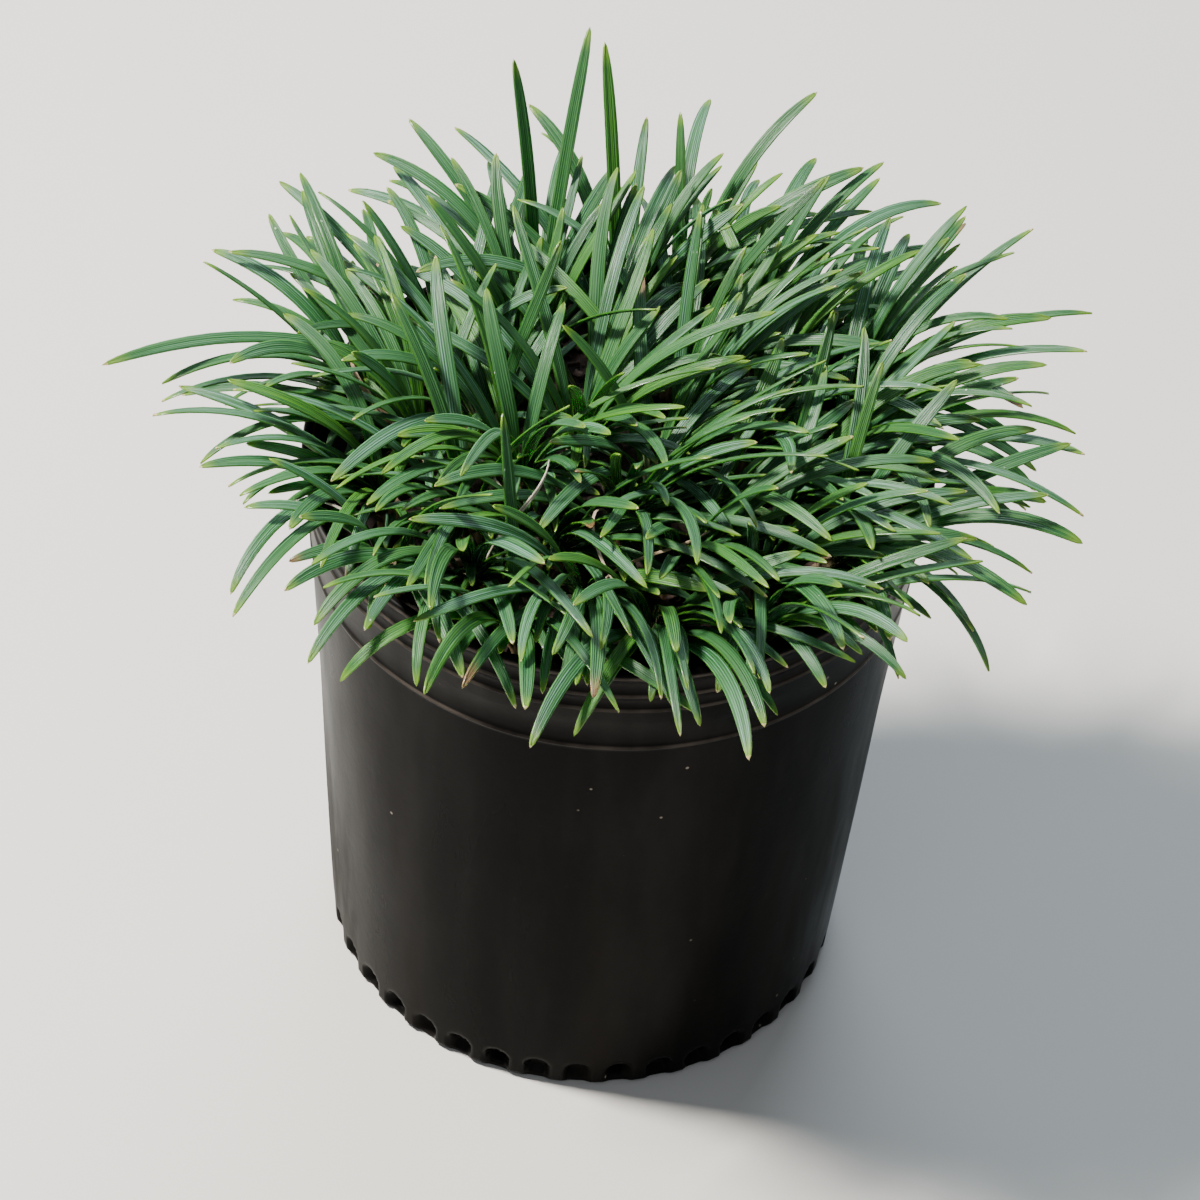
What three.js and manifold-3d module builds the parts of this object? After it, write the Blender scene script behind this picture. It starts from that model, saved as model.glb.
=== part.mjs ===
// Potted mondo grass: a blow-moulded nursery pot, filled with bark potting mix and planted with
// small tufts of strap leaves. Millimetres, +Z up, origin at the middle of the pot's flat floor.
import * as THREE from 'three';
import { mergeVertices } from 'three/addons/utils/BufferGeometryUtils.js';
import Module from 'manifold-3d';

const wasm = await Module();
wasm.setup();

// The pot
const POT_HEIGHT = 173;
const POT_TOP_RADIUS = 84;
const POT_FOOT_RADIUS = 71;
const WALL = 1.8;
const FLOOR = 2.4;
const POT_SIDES = 60;
const LIP_HEIGHT = 3;
const LIP_OVERHANG = 1.2;
const BEAD_HEIGHT = 1.8;
const BEAD_RISE = 0.8;
const BEADS_BELOW_TOP = [29, 14.5, 9];
const BASE_EDGE = 1.2;
const FOOT_BAND = 12;
const FOOT_STEP = 4;
const FOOT_THICKNESS = 6;
const NICHES = 39;
const NICHE_WIDTH = 5.8;
const NICHE_HEIGHT = 8.6;
const NICHE_DEPTH = 4;
const DRAIN_DEPTH = 7.5;
const DRAIN_EVERY = 3;

// The potting mix
const SOIL_BELOW_RIM = 14;
const SOIL_SIDES = 30;
const SOIL_RINGS = 4;
const SOIL_HOLLOWS = 2.6;
const CLEARANCE = 0.35;

// Where the tufts stand, and the spot that their leaves flow away from
const TUFTS = 34;
const PLANTED_RADIUS = 71;
const GOLDEN_ANGLE = Math.PI * (3 - Math.sqrt(5));
const PARTING_X = -16;
const CROWN_RADIUS = 5;
const CROWN_TAPER = 0.8;
const CROWN_SIDES = 6;
const CROWN_DEPTH = 10;
const CROWN_RISE = 7;

// The blades: SHEATH is the share of the first stretch in which blades of one tuft may join.
const BLADES_PER_TUFT = 13;
const BLADE_LENGTH = 74;
const BLADE_WIDTH = 4.5;
const BLADE_KEEL = 0.9;
const BLADE_GAP = 0.12;
const ROOT_WIDTH = 0.36;
const WIDEST_AT = 0.35;
const SHEATH = 0.8;
const CURVE_STEPS = 24;
const BLADE_STATIONS = [0, 7, 14, 22, 24];
const RIM_CLEARANCE = 3;
const MIX_CLEARANCE = 2.5;
const TRIES = 24;

// How the blades lean, in degrees: first for a tuft in the middle, then for one at the rim.
const FAN = [130, 62];
const LOW_PITCH = [60, 50];
const LOW_TIP_PITCH = [-8, -36];
const HIGH_PITCH = [72, 72];
const HIGH_TIP_PITCH = [25, -12];

// The blades that stand out of the mound: tuft, bearing, length, pitch at the root and at the tip.
const LONG_BLADES = [
  [7, 113, 77, 80, 58],
  [7, 95, 85, 80, 58],
  [15, 107, 85, 78, 52],
  [12, 208, 109, 45, -5],
  [4, 197, 66, 40, -10],
  [9, 209, 57, 45, -25],
  [5, 2, 74, 45, -15],
  [8, 4, 70, 40, -5],
  [13, 353, 72, 50, -10],
  [5, 27, 73, 50, 0],
  [8, 315, 66, 58, -65],
  [3, 260, 44, 66, -62],
  [3, 310, 48, 66, -62],
  [6, 229, 61, 60, -62],
  [1, 235, 51, 60, -55],
  [12, 145, 72, 55, 0],
  [7, 141, 67, 60, 15],
  [15, 87, 63, 70, 30],
  [2, 64, 48, 65, 20],
  [10, 43, 63, 62, 14],
  [5, 57, 64, 60, 10],
  [18, 20, 80, 55, 10],
];

const SOIL_TOP = POT_HEIGHT - SOIL_BELOW_RIM;
const RADIANS = Math.PI / 180;

// Colours read from the photograph
const potPlastic = new THREE.MeshStandardMaterial({ color: 0x262421, roughness: 0.45, metalness: 0 });
const barkMix = new THREE.MeshStandardMaterial({ color: 0x33271f, roughness: 0.95, metalness: 0 });
const leafGreen = new THREE.MeshStandardMaterial({ color: 0x2f6b38, roughness: 0.45, metalness: 0 });

const mix = (a, b, t) => a + (b - a) * t;
const ease = (t) => t * t * (3 - 2 * t);

// A repeatable random draw between 0 and 1.
function drawsFrom(seed) {
  let state = seed | 0;
  return () => {
    state = (state + 0x6d2b79f5) | 0;
    let t = Math.imul(state ^ (state >>> 15), 1 | state);
    t = (t + Math.imul(t ^ (t >>> 7), 61 | t)) ^ t;
    return ((t ^ (t >>> 14)) >>> 0) / 4294967296;
  };
}

// A closed geometry as a manifold-3d solid.
function solid(geometry) {
  const bare = geometry.clone();
  bare.deleteAttribute('normal');
  bare.deleteAttribute('uv');
  const merged = mergeVertices(bare, 1e-3);
  return new wasm.Manifold(new wasm.Mesh({
    numProp: 3,
    vertProperties: new Float32Array(merged.attributes.position.array),
    triVerts: new Uint32Array(merged.index.array),
  }));
}

// A manifold-3d solid as a named three.js mesh.
function meshOf(name, body, material) {
  const data = body.getMesh();
  const shared = new THREE.BufferGeometry();
  shared.setAttribute('position', new THREE.BufferAttribute(data.vertProperties, 3));
  shared.setIndex(new THREE.BufferAttribute(data.triVerts, 1));
  const flat = shared.toNonIndexed();
  flat.computeVertexNormals();
  const mesh = new THREE.Mesh(flat, material);
  mesh.name = name;
  return mesh;
}

// Pot

function wallRadius(z) {
  return mix(POT_FOOT_RADIUS, POT_TOP_RADIUS - LIP_OVERHANG, z / POT_HEIGHT);
}

// The pot's section: along the floor, up the outside past the beads, over the lip, down the inside.
function potProfile() {
  const points = [[0, 0], [POT_FOOT_RADIUS - BASE_EDGE, 0], [POT_FOOT_RADIUS, BASE_EDGE]];
  for (const below of BEADS_BELOW_TOP) {
    const z = POT_HEIGHT - below;
    points.push([wallRadius(z), z - BEAD_HEIGHT / 2]);
    points.push([wallRadius(z) + BEAD_RISE, z]);
    points.push([wallRadius(z), z + BEAD_HEIGHT / 2]);
  }
  points.push([wallRadius(POT_HEIGHT - LIP_HEIGHT), POT_HEIGHT - LIP_HEIGHT]);
  points.push([POT_TOP_RADIUS, POT_HEIGHT - LIP_HEIGHT + 1]);
  points.push([POT_TOP_RADIUS - 0.4, POT_HEIGHT]);
  points.push([POT_TOP_RADIUS - LIP_OVERHANG - WALL, POT_HEIGHT - 0.4]);
  points.push([wallRadius(FOOT_BAND + FOOT_STEP) - WALL, FOOT_BAND + FOOT_STEP]);
  points.push([POT_FOOT_RADIUS - FOOT_THICKNESS, FOOT_BAND]);
  points.push([POT_FOOT_RADIUS - FOOT_THICKNESS, FLOOR]);
  points.push([0, FLOOR]);
  return points.map(([r, z]) => new THREE.Vector2(r, z));
}

// An arched cutter standing on the ground and running inwards through the foot at one bearing.
function nicheCutter(bearing, depth) {
  const half = NICHE_WIDTH / 2;
  const arch = new THREE.Shape([
    new THREE.Vector2(-half, -1),
    new THREE.Vector2(half, -1),
    new THREE.Vector2(half, NICHE_HEIGHT - half),
    new THREE.Vector2(half * 0.6, NICHE_HEIGHT - half * 0.2),
    new THREE.Vector2(-half * 0.6, NICHE_HEIGHT - half * 0.2),
    new THREE.Vector2(-half, NICHE_HEIGHT - half),
  ]);
  const niche = new THREE.ExtrudeGeometry(arch, { depth: 2 * depth, bevelEnabled: false });
  const outwards = new THREE.Vector3(Math.cos(bearing), Math.sin(bearing), 0);
  const across = new THREE.Vector3(-Math.sin(bearing), Math.cos(bearing), 0);
  niche.applyMatrix4(new THREE.Matrix4().makeBasis(across, new THREE.Vector3(0, 0, 1), outwards));
  const inner = POT_FOOT_RADIUS - depth;
  niche.translate(inner * outwards.x, inner * outwards.y, 0);
  return solid(niche);
}

function makePot() {
  const turned = new THREE.LatheGeometry(potProfile(), POT_SIDES);
  turned.rotateX(Math.PI / 2);
  const niches = [];
  for (let i = 0; i < NICHES; i += 1) {
    const depth = i % DRAIN_EVERY === 0 ? DRAIN_DEPTH : NICHE_DEPTH;
    niches.push(nicheCutter((i + 0.5) * 2 * Math.PI / NICHES, depth));
  }
  return solid(turned).subtract(wasm.Manifold.union(niches));
}

// Potting mix

// The inside of the pot filled to SOIL_TOP, its surface sunk here and there into small hollows.
function makeSoil(holes) {
  const draw = drawsFrom(7);
  const bottomRadius = POT_FOOT_RADIUS - FOOT_THICKNESS - CLEARANCE;
  const topRadius = wallRadius(SOIL_TOP) - WALL - CLEARANCE;
  const profile = [
    [0, FLOOR + CLEARANCE],
    [bottomRadius, FLOOR + CLEARANCE],
    [bottomRadius, FOOT_BAND + CLEARANCE],
    [wallRadius(FOOT_BAND + FOOT_STEP) - WALL - CLEARANCE, FOOT_BAND + FOOT_STEP + CLEARANCE],
    [topRadius, SOIL_TOP - SOIL_HOLLOWS],
  ];
  for (let i = 1; i <= SOIL_RINGS; i += 1) {
    profile.push([topRadius * (1 - i / (SOIL_RINGS + 0.6)), SOIL_TOP]);
  }
  profile.push([0, SOIL_TOP]);
  const points = profile.map(([r, z]) => new THREE.Vector2(r, z));
  const fill = new THREE.LatheGeometry(points, SOIL_SIDES);
  fill.rotateX(Math.PI / 2);
  fill.deleteAttribute('normal');
  fill.deleteAttribute('uv');
  const merged = mergeVertices(fill, 1e-3);
  const place = merged.attributes.position;
  for (let i = 0; i < place.count; i += 1) {
    if (place.getZ(i) > SOIL_TOP - 0.1) place.setZ(i, SOIL_TOP - SOIL_HOLLOWS * draw());
  }
  return solid(merged).subtract(wasm.Manifold.union(holes));
}

// Tufts

// Where the tufts stand: a sunflower spiral that fills the pot evenly, the outermost tuft first.
function tuftPlaces() {
  const places = [];
  for (let i = TUFTS - 1; i >= 0; i -= 1) {
    const reach = PLANTED_RADIUS * Math.sqrt((i + 0.5) / TUFTS);
    const bearing = i * GOLDEN_ANGLE;
    places.push({ x: reach * Math.cos(bearing), y: reach * Math.sin(bearing), reach, bearing });
  }
  return places;
}

// A blade's width along it, from 0 at the root to 1 at the tip: narrow, full, then rounded off.
function widthAt(s, full) {
  if (s < WIDEST_AT) return full * mix(ROOT_WIDTH, 1, ease(s / WIDEST_AT));
  return full * Math.sqrt(Math.max(0, 1 - ((s - WIDEST_AT) / (1 - WIDEST_AT)) ** 3.2));
}

// A blade's midline: it leaves the root at one pitch and bends steadily to another.
function bladeCurve({ root, bearing, turn, pitch, tipPitch, length, width, roll }) {
  const points = [];
  const p = root.clone();
  for (let i = 0; i <= CURVE_STEPS; i += 1) {
    const s = i / CURVE_STEPS;
    const heading = bearing + turn * s * s;
    const rise = mix(pitch, tipPitch, s ** 1.15);
    const along = new THREE.Vector3(
      Math.cos(rise) * Math.cos(heading), Math.cos(rise) * Math.sin(heading), Math.sin(rise));
    const level = new THREE.Vector3(-Math.sin(heading), Math.cos(heading), 0);
    const upper = new THREE.Vector3().crossVectors(along, level);
    const lean = roll * ease(s);
    const side = level.clone().multiplyScalar(Math.cos(lean)).addScaledVector(upper, Math.sin(lean));
    const face = new THREE.Vector3().crossVectors(along, side);
    points.push({ p: p.clone(), along, side, face, width: widthAt(s, width) });
    p.addScaledVector(along, length / CURVE_STEPS);
  }
  return points;
}

// The three corners of a blade's section at one station: its two edges and the keel underneath.
function sectionCorners({ p, side, face, width }) {
  return [
    p.clone().addScaledVector(side, width / 2),
    p.clone().addScaledVector(side, -width / 2),
    p.clone().addScaledVector(face, -BLADE_KEEL),
  ];
}

// The turned box that just holds a straight stretch of blade between two sections.
function boxAround(start, end, level) {
  const middle = (corners) => corners[0].clone().add(corners[1]).multiplyScalar(0.5);
  const along = middle(end).sub(middle(start)).normalize();
  const face = new THREE.Vector3().crossVectors(along, level).normalize();
  const axes = [along, new THREE.Vector3().crossVectors(face, along), face];
  const centre = new THREE.Vector3();
  const reach = axes.map((axis) => {
    const spots = [...start, ...end].map((corner) => corner.dot(axis));
    const low = Math.min(...spots);
    const high = Math.max(...spots);
    centre.addScaledVector(axis, (low + high) / 2);
    return (high - low) / 2 + BLADE_GAP;
  });
  return { centre, axes, reach, ball: Math.hypot(...reach) };
}

// A blade's boxes, the first around its sheathed root, which may meet the rest of its own tuft.
function bladeBoxes(curve) {
  const stations = BLADE_STATIONS.map((step) => curve[step]);
  const sections = stations.map(sectionCorners);
  const sheath = sections[0].map((corner, i) => corner.clone().lerp(sections[1][i], SHEATH));
  sections.splice(1, 0, sheath);
  const levels = [stations[0], ...stations.slice(0, -1)].map(({ side }, k) => (
    side.clone().add(stations[Math.max(k, 1)].side)));
  return levels.map((level, k) => ({
    ...boxAround(sections[k], sections[k + 1], level),
    root: k === 0,
  }));
}

// Whether two turned boxes meet, by the separating axis test.
function boxesMeet(a, b) {
  const apart = new THREE.Vector3().subVectors(b.centre, a.centre);
  if (apart.length() > a.ball + b.ball) return false;
  const tests = [...a.axes, ...b.axes];
  for (const u of a.axes) {
    for (const v of b.axes) {
      const cross = new THREE.Vector3().crossVectors(u, v);
      if (cross.lengthSq() > 1e-6) tests.push(cross);
    }
  }
  return tests.every((axis) => {
    let reach = 0;
    for (let k = 0; k < 3; k += 1) {
      reach += a.reach[k] * Math.abs(a.axes[k].dot(axis)) + b.reach[k] * Math.abs(b.axes[k].dot(axis));
    }
    return Math.abs(apart.dot(axis)) <= reach;
  });
}

// Whether a blade stays above the mix and clears the pot's lip and wall.
function clearsPot(curve) {
  for (let k = 1; k < BLADE_STATIONS.length; k += 1) {
    const a = curve[BLADE_STATIONS[k - 1]].p;
    const b = curve[BLADE_STATIONS[k]].p;
    for (let t = k === 1 ? 0.4 : 0.1; t <= 1; t += 0.1) {
      const p = new THREE.Vector3().lerpVectors(a, b, t);
      const r = Math.hypot(p.x, p.y);
      const inside = r < POT_TOP_RADIUS - LIP_OVERHANG - WALL - RIM_CLEARANCE;
      const outside = r > POT_TOP_RADIUS + RIM_CLEARANCE;
      if (!inside && !outside && p.z < POT_HEIGHT + RIM_CLEARANCE) return false;
      if (inside && p.z < SOIL_TOP + MIX_CLEARANCE) return false;
    }
  }
  return true;
}

// One blade as a three-sided cone whose vertices are moved to their places along the curve.
function bladeSolid(curve) {
  const segments = BLADE_STATIONS.length - 1;
  const cone = new THREE.ConeGeometry(1, 1, 3, segments);
  cone.deleteAttribute('normal');
  cone.deleteAttribute('uv');
  const merged = mergeVertices(cone, 1e-3);
  const place = merged.attributes.position;
  const corner = new THREE.Vector3();
  for (let i = 0; i < place.count; i += 1) {
    corner.fromBufferAttribute(place, i);
    const station = curve[BLADE_STATIONS[Math.round((corner.y + 0.5) * segments)]];
    const onAxis = Math.hypot(corner.x, corner.z) < 1e-3;
    const corners = sectionCorners(station);
    const keel = Math.abs(corner.x) < 1e-3;
    const spot = onAxis ? station.p : corners[keel ? 2 : (corner.x > 0 ? 0 : 1)];
    place.setXYZ(i, spot.x, spot.y, spot.z);
  }
  return solid(merged);
}

// What one blade of a tuft would like to be: the first are the oldest, longest and lowest.
function bladeWish(tuft, rank, draw) {
  const outer = tuft.reach / PLANTED_RADIUS;
  const inner = rank / (BLADES_PER_TUFT - 1);
  const flow = Math.atan2(tuft.y, tuft.x - PARTING_X);
  const lean = (low, high) => mix(mix(...low, outer), mix(...high, outer), inner) * RADIANS;
  return {
    bearing: flow + mix(...FAN, outer) * RADIANS * (2 * draw() - 1),
    turn: 60 * RADIANS * (draw() - 0.5),
    pitch: lean(LOW_PITCH, HIGH_PITCH),
    tipPitch: lean(LOW_TIP_PITCH, HIGH_TIP_PITCH) + 30 * RADIANS * (draw() - 0.5),
    length: BLADE_LENGTH * mix(1, 0.72, inner) * mix(0.8, 1.12, draw()),
    width: BLADE_WIDTH * mix(0.8, 1.1, draw()),
    roll: 80 * RADIANS * (draw() - 0.5),
    inner,
  };
}

// One of the long blades, as a wish.
function longWish([, bearing, length, pitch, tipPitch], draw) {
  return {
    bearing: bearing * RADIANS,
    turn: 20 * RADIANS * (draw() - 0.5),
    pitch: pitch * RADIANS,
    tipPitch: tipPitch * RADIANS,
    length,
    width: BLADE_WIDTH * mix(0.85, 1, draw()),
    roll: 60 * RADIANS * (draw() - 0.5),
    inner: 0.2,
  };
}

// Where a blade leaves its tuft: the first ones round the outside of the crown.
function rootOf(tuft, wish) {
  const out = mix(3.6, 0.6, wish.inner);
  return new THREE.Vector3(
    tuft.x + out * Math.cos(wish.bearing),
    tuft.y + out * Math.sin(wish.bearing),
    SOIL_TOP + mix(2.5, 5, wish.inner));
}

// The box around a tuft's crown, for the crossing test.
function crownBox(tuft, owner) {
  const tall = (CROWN_RISE + CROWN_DEPTH) / 2;
  const wide = CROWN_RADIUS + CLEARANCE;
  return {
    centre: new THREE.Vector3(tuft.x, tuft.y, SOIL_TOP + CROWN_RISE - tall),
    axes: [new THREE.Vector3(1, 0, 0), new THREE.Vector3(0, 1, 0), new THREE.Vector3(0, 0, 1)],
    reach: [wide, wide, tall + CLEARANCE],
    ball: Math.hypot(wide, wide, tall + CLEARANCE),
    root: true,
    owner,
  };
}

// Grows every tuft's blades in turn; one that would cross another is turned and raised until clear.
function growTufts() {
  const draw = drawsFrom(2024);
  const tufts = tuftPlaces().map((place) => ({ ...place, blades: [] }));
  const taken = tufts.map(crownBox);
  const grow = (owner, wish) => {
    for (let attempt = 0; attempt < TRIES; attempt += 1) {
      const curve = bladeCurve({ ...wish, root: rootOf(tufts[owner], wish) });
      const boxes = bladeBoxes(curve);
      const crosses = () => boxes.some((box) => taken.some((other) => {
        if (other.owner === owner && (box.root || other.root)) return false;
        return boxesMeet(box, other);
      }));
      if (clearsPot(curve) && !crosses()) {
        tufts[owner].blades.push(curve);
        boxes.forEach((box) => taken.push({ ...box, owner }));
        return;
      }
      wish.bearing += 36 * RADIANS * (draw() - 0.5);
      wish.pitch = Math.min(80 * RADIANS, wish.pitch + 1.5 * RADIANS);
      wish.tipPitch = Math.min(45 * RADIANS, wish.tipPitch + 2.5 * RADIANS);
    }
  };
  for (const row of LONG_BLADES) grow(row[0] - 1, longWish(row, draw));
  for (let rank = 0; rank < BLADES_PER_TUFT; rank += 1) {
    tufts.forEach((tuft, owner) => grow(owner, bladeWish(tuft, rank, draw)));
  }
  return tufts;
}

// The one whole body of a joined tuft: hollows sealed between blades are filled, scraps left out.
function wholeBody(joined) {
  return joined.decompose().reduce((a, b) => (b.volume() > a.volume() ? b : a));
}

// A tuft's crown, a stub with more than half its height in the mix; with a margin it is its hole.
function crownSolid(tuft, margin) {
  const height = CROWN_DEPTH + CROWN_RISE + margin;
  const foot = CROWN_RADIUS + margin;
  const crown = new THREE.CylinderGeometry(foot - CROWN_TAPER, foot, height, CROWN_SIDES);
  crown.rotateX(Math.PI / 2);
  crown.translate(tuft.x, tuft.y, SOIL_TOP + CROWN_RISE - height / 2);
  return solid(crown);
}

const plant = new THREE.Group();
const tufts = growTufts();
plant.add(meshOf('pot', makePot(), potPlastic));
plant.add(meshOf('potting_mix', makeSoil(tufts.map((tuft) => crownSolid(tuft, CLEARANCE))), barkMix));
tufts.forEach((tuft, i) => {
  const body = wasm.Manifold.union([crownSolid(tuft, 0), ...tuft.blades.map(bladeSolid)]);
  plant.add(meshOf(`tuft_${String(i + 1).padStart(2, '0')}`, wholeBody(body), leafGreen));
});

export default plant;
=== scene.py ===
# %% [markdown]
# # Potted mondo grass
#
# The object is a young mondo grass: a low mound of small tufts, each a fan of leathery strap leaves,
# growing in bark potting mix in a black blow-moulded nursery pot. The solid model gives the sizes and
# the places of everything. This script keeps those places and dresses them: a pot with soft moulded
# edges, a bark surface made of real chips, and leaves with a channel, veins and pale tips.
#
# The first cell loads the solid model. Nothing in it is moved or changed. Its box is measured at once,
# so that the second generation of leaves can be kept inside it.

# %% Load the solid model
import math

import bmesh
import bpy
import numpy as np
from mathutils import Matrix, Quaternion, Vector, noise


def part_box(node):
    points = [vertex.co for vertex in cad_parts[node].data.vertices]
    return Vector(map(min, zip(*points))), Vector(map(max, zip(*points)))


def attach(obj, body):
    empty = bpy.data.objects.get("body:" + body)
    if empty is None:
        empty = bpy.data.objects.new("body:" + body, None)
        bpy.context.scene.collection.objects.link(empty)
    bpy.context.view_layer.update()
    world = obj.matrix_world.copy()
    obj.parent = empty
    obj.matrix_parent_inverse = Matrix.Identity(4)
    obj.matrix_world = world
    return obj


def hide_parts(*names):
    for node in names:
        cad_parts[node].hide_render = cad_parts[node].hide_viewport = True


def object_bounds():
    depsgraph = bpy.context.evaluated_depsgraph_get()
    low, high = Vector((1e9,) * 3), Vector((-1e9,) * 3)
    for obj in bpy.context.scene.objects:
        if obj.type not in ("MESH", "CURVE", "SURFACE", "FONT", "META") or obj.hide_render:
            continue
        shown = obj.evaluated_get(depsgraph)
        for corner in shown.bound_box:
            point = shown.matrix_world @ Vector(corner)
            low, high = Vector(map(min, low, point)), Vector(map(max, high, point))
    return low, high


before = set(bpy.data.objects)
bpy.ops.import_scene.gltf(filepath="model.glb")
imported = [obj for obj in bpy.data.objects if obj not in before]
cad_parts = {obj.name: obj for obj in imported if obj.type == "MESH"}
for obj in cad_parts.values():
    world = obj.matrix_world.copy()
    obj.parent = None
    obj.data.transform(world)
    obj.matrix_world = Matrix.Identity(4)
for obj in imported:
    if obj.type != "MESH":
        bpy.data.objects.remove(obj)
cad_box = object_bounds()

print("solid model:", len(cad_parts), "nodes")

# %% [markdown]
# ## Small helpers
#
# Nursery sizes are given in millimetres and Blender works in metres, so the rules below count in
# millimetres and `MM` turns them into metres when a mesh is made. Every random draw comes from a
# seeded generator written out here, because the leaves have to fall exactly as they do in the solid
# model, and the same on every run.

# %% Units, blends and repeatable draws
MM = 0.001
DEGREE = math.radians(1)
WORD = 0xFFFFFFFF
DRAW_STEP = 0x6D2B79F5


def mix(a, b, t):
    """a at t = 0, b at t = 1."""
    return a + (b - a) * t


def ease(t):
    """0 to 1 with a soft start and a soft end."""
    return t * t * (3 - 2 * t)


def draws_from(seed):
    """A function that gives a new repeatable draw between 0 and 1 each time."""
    state = seed & WORD

    def draw():
        nonlocal state
        state = (state + DRAW_STEP) & WORD
        t = ((state ^ (state >> 15)) * (1 | state)) & WORD
        t = ((t + (((t ^ (t >> 7)) * (61 | t)) & WORD)) & WORD) ^ t
        return ((t ^ (t >> 14)) & WORD) / (WORD + 1)

    return draw


print("first draws:", [round(draws_from(seed)(), 3) for seed in (1, 2, 3)])

# %% [markdown]
# A finished piece is a mesh object that sits at the origin, with its place in its own vertices.
# Everything here is one body, called root, because nothing on a potted plant is jointed.

# %% Turn a bmesh into a piece


def piece_from(bm, name, materials, replaces=()):
    """A named, smooth-shaded piece in metres, riding on the one body."""
    mesh = bpy.data.meshes.new(name)
    bm.to_mesh(mesh)
    bm.free()
    mesh.shade_smooth()
    piece = bpy.data.objects.new(name, mesh)
    bpy.context.scene.collection.objects.link(piece)
    for material in materials:
        mesh.materials.append(material)
    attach(piece, "root")
    if replaces:
        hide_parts(*replaces)
    return piece


# %% [markdown]
# ## Camera, floor and light
#
# The photograph looks down on the plant at about 44 degrees from a little over a metre away through a
# long lens, which keeps the pot's sides nearly parallel. The camera was held about five degrees
# askew, so the pot leans in the picture. A camera is easiest to place by its target: it stands back
# from the target along the line of sight, is turned to face it, and is then rolled about that line.

# %% Camera at the photograph's angle
VIEW_TARGET = Vector((-0.0018, 0.0, 0.1184))
VIEW_ELEVATION = math.radians(44)
VIEW_DISTANCE = 1.3
VIEW_ROLL = math.radians(4.8)
LENS_MM = 144.2


def facing(place, target, roll=0.0):
    """The turn that points an object's -Z from place to target, rolled about that line."""
    turn = (target - place).to_track_quat("-Z", "Y")
    return (turn @ Quaternion((0, 0, 1), roll)).to_euler()


camera_data = bpy.data.cameras.new("photo_camera")
camera_data.lens = LENS_MM
camera_data.sensor_width = 36
camera = bpy.data.objects.new("photo_camera", camera_data)
line_of_sight = Vector((0, -math.cos(VIEW_ELEVATION), math.sin(VIEW_ELEVATION)))
camera.location = VIEW_TARGET + VIEW_DISTANCE * line_of_sight
camera.rotation_euler = facing(camera.location, VIEW_TARGET, VIEW_ROLL)
bpy.context.scene.collection.objects.link(camera)
bpy.context.scene.camera = camera
print("camera at", [round(c, 3) for c in camera.location])

# %% [markdown]
# Material nodes are wordy to make by hand. This helper adds one node, sets its options, and fills each
# input with either a number or another node's output, so that a finish reads as a few short lines.

# %% A short way to write material nodes


def new_material(name):
    """An empty material's node tree with its shader: (material, tree, principled)."""
    material = bpy.data.materials.new(name)
    material.use_nodes = True
    tree = material.node_tree
    return material, tree, tree.nodes["Principled BSDF"]


def node(tree, kind, options=None, **inputs):
    """One node. An input is named with _ for each space, and takes a value or another's output."""
    made = tree.nodes.new("ShaderNode" + kind)
    for option, value in (options or {}).items():
        setattr(made, option, value)
    for name, value in inputs.items():
        plug(tree, made.inputs[name.replace("_", " ")], value)
    return made


def plug(tree, socket, value):
    """Fills a socket with a value, or joins it to another node's output."""
    if isinstance(value, bpy.types.NodeSocket):
        tree.links.new(value, socket)
    else:
        socket.default_value = value


def maths(tree, operation, *values, clamp=False):
    """The result of a sum on one, two or three numbers."""
    made = tree.nodes.new("ShaderNodeMath")
    made.operation = operation
    made.use_clamp = clamp
    for socket, value in zip(made.inputs, values):
        plug(tree, socket, value)
    return made.outputs[0]


def times(tree, a, b):
    """The product of two numbers: how much of both."""
    return maths(tree, "MULTIPLY", a, b)


def ramp_between(tree, value, low, high):
    """0 where value is at or below low, 1 at or above high, with soft ends. low may be the larger."""
    made = node(tree, "MapRange", {"interpolation_type": "SMOOTHSTEP"}, Value=value)
    made.inputs["From Min"].default_value = min(low, high)
    made.inputs["From Max"].default_value = max(low, high)
    made.inputs["To Min"].default_value = 0.0 if low < high else 1.0
    made.inputs["To Max"].default_value = 1.0 if low < high else 0.0
    return made.outputs["Result"]


def blend_colours(tree, share, a, b):
    """Colour a where share is 0 and colour b where it is 1."""
    made = tree.nodes.new("ShaderNodeMix")
    made.data_type = "RGBA"
    plug(tree, made.inputs["Factor"], share)
    plug(tree, made.inputs["A"], a)
    plug(tree, made.inputs["B"], b)
    return made.outputs["Result"]


def speckle(tree, place, scale, detail=4.0, roughness=0.55):
    """Noise between 0 and 1 at a scale in features per metre."""
    made = node(tree, "TexNoise", Vector=place, Scale=scale, Detail=detail, Roughness=roughness)
    return made.outputs["Fac"]


def attribute(tree, name):
    """A number that each vertex of the piece carries."""
    return node(tree, "Attribute", {"attribute_name": name}).outputs["Fac"]


def relief(tree, height, depth_m, under=None):
    """A bump normal: height 1 stands depth_m above height 0. under is a normal that it adds to."""
    made = node(tree, "Bump", Height=height, Distance=depth_m, Strength=1.0)
    if under is not None:
        tree.links.new(under, made.inputs["Normal"])
    return made.outputs["Normal"]


# %% [markdown]
# The floor is a plain pale sheet. The light is a studio version of the photograph's sun: a strong key
# high on the left, because the shadow on the ground falls straight to the right. A wide cool light
# behind the plant puts a shine along the leaves and leaves the front of the pot dark, and a weak fill
# from the front keeps some colour in the shadows.

# %% Floor and lights
FLOOR_SIZE = 6.0
FLOOR_COLOUR = (0.60, 0.575, 0.53, 1)
FLOOR_ROUGHNESS = 0.9
SKY_COLOUR = (0.80, 0.88, 1.0, 1)
SKY_STRENGTH = 0.32

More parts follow.
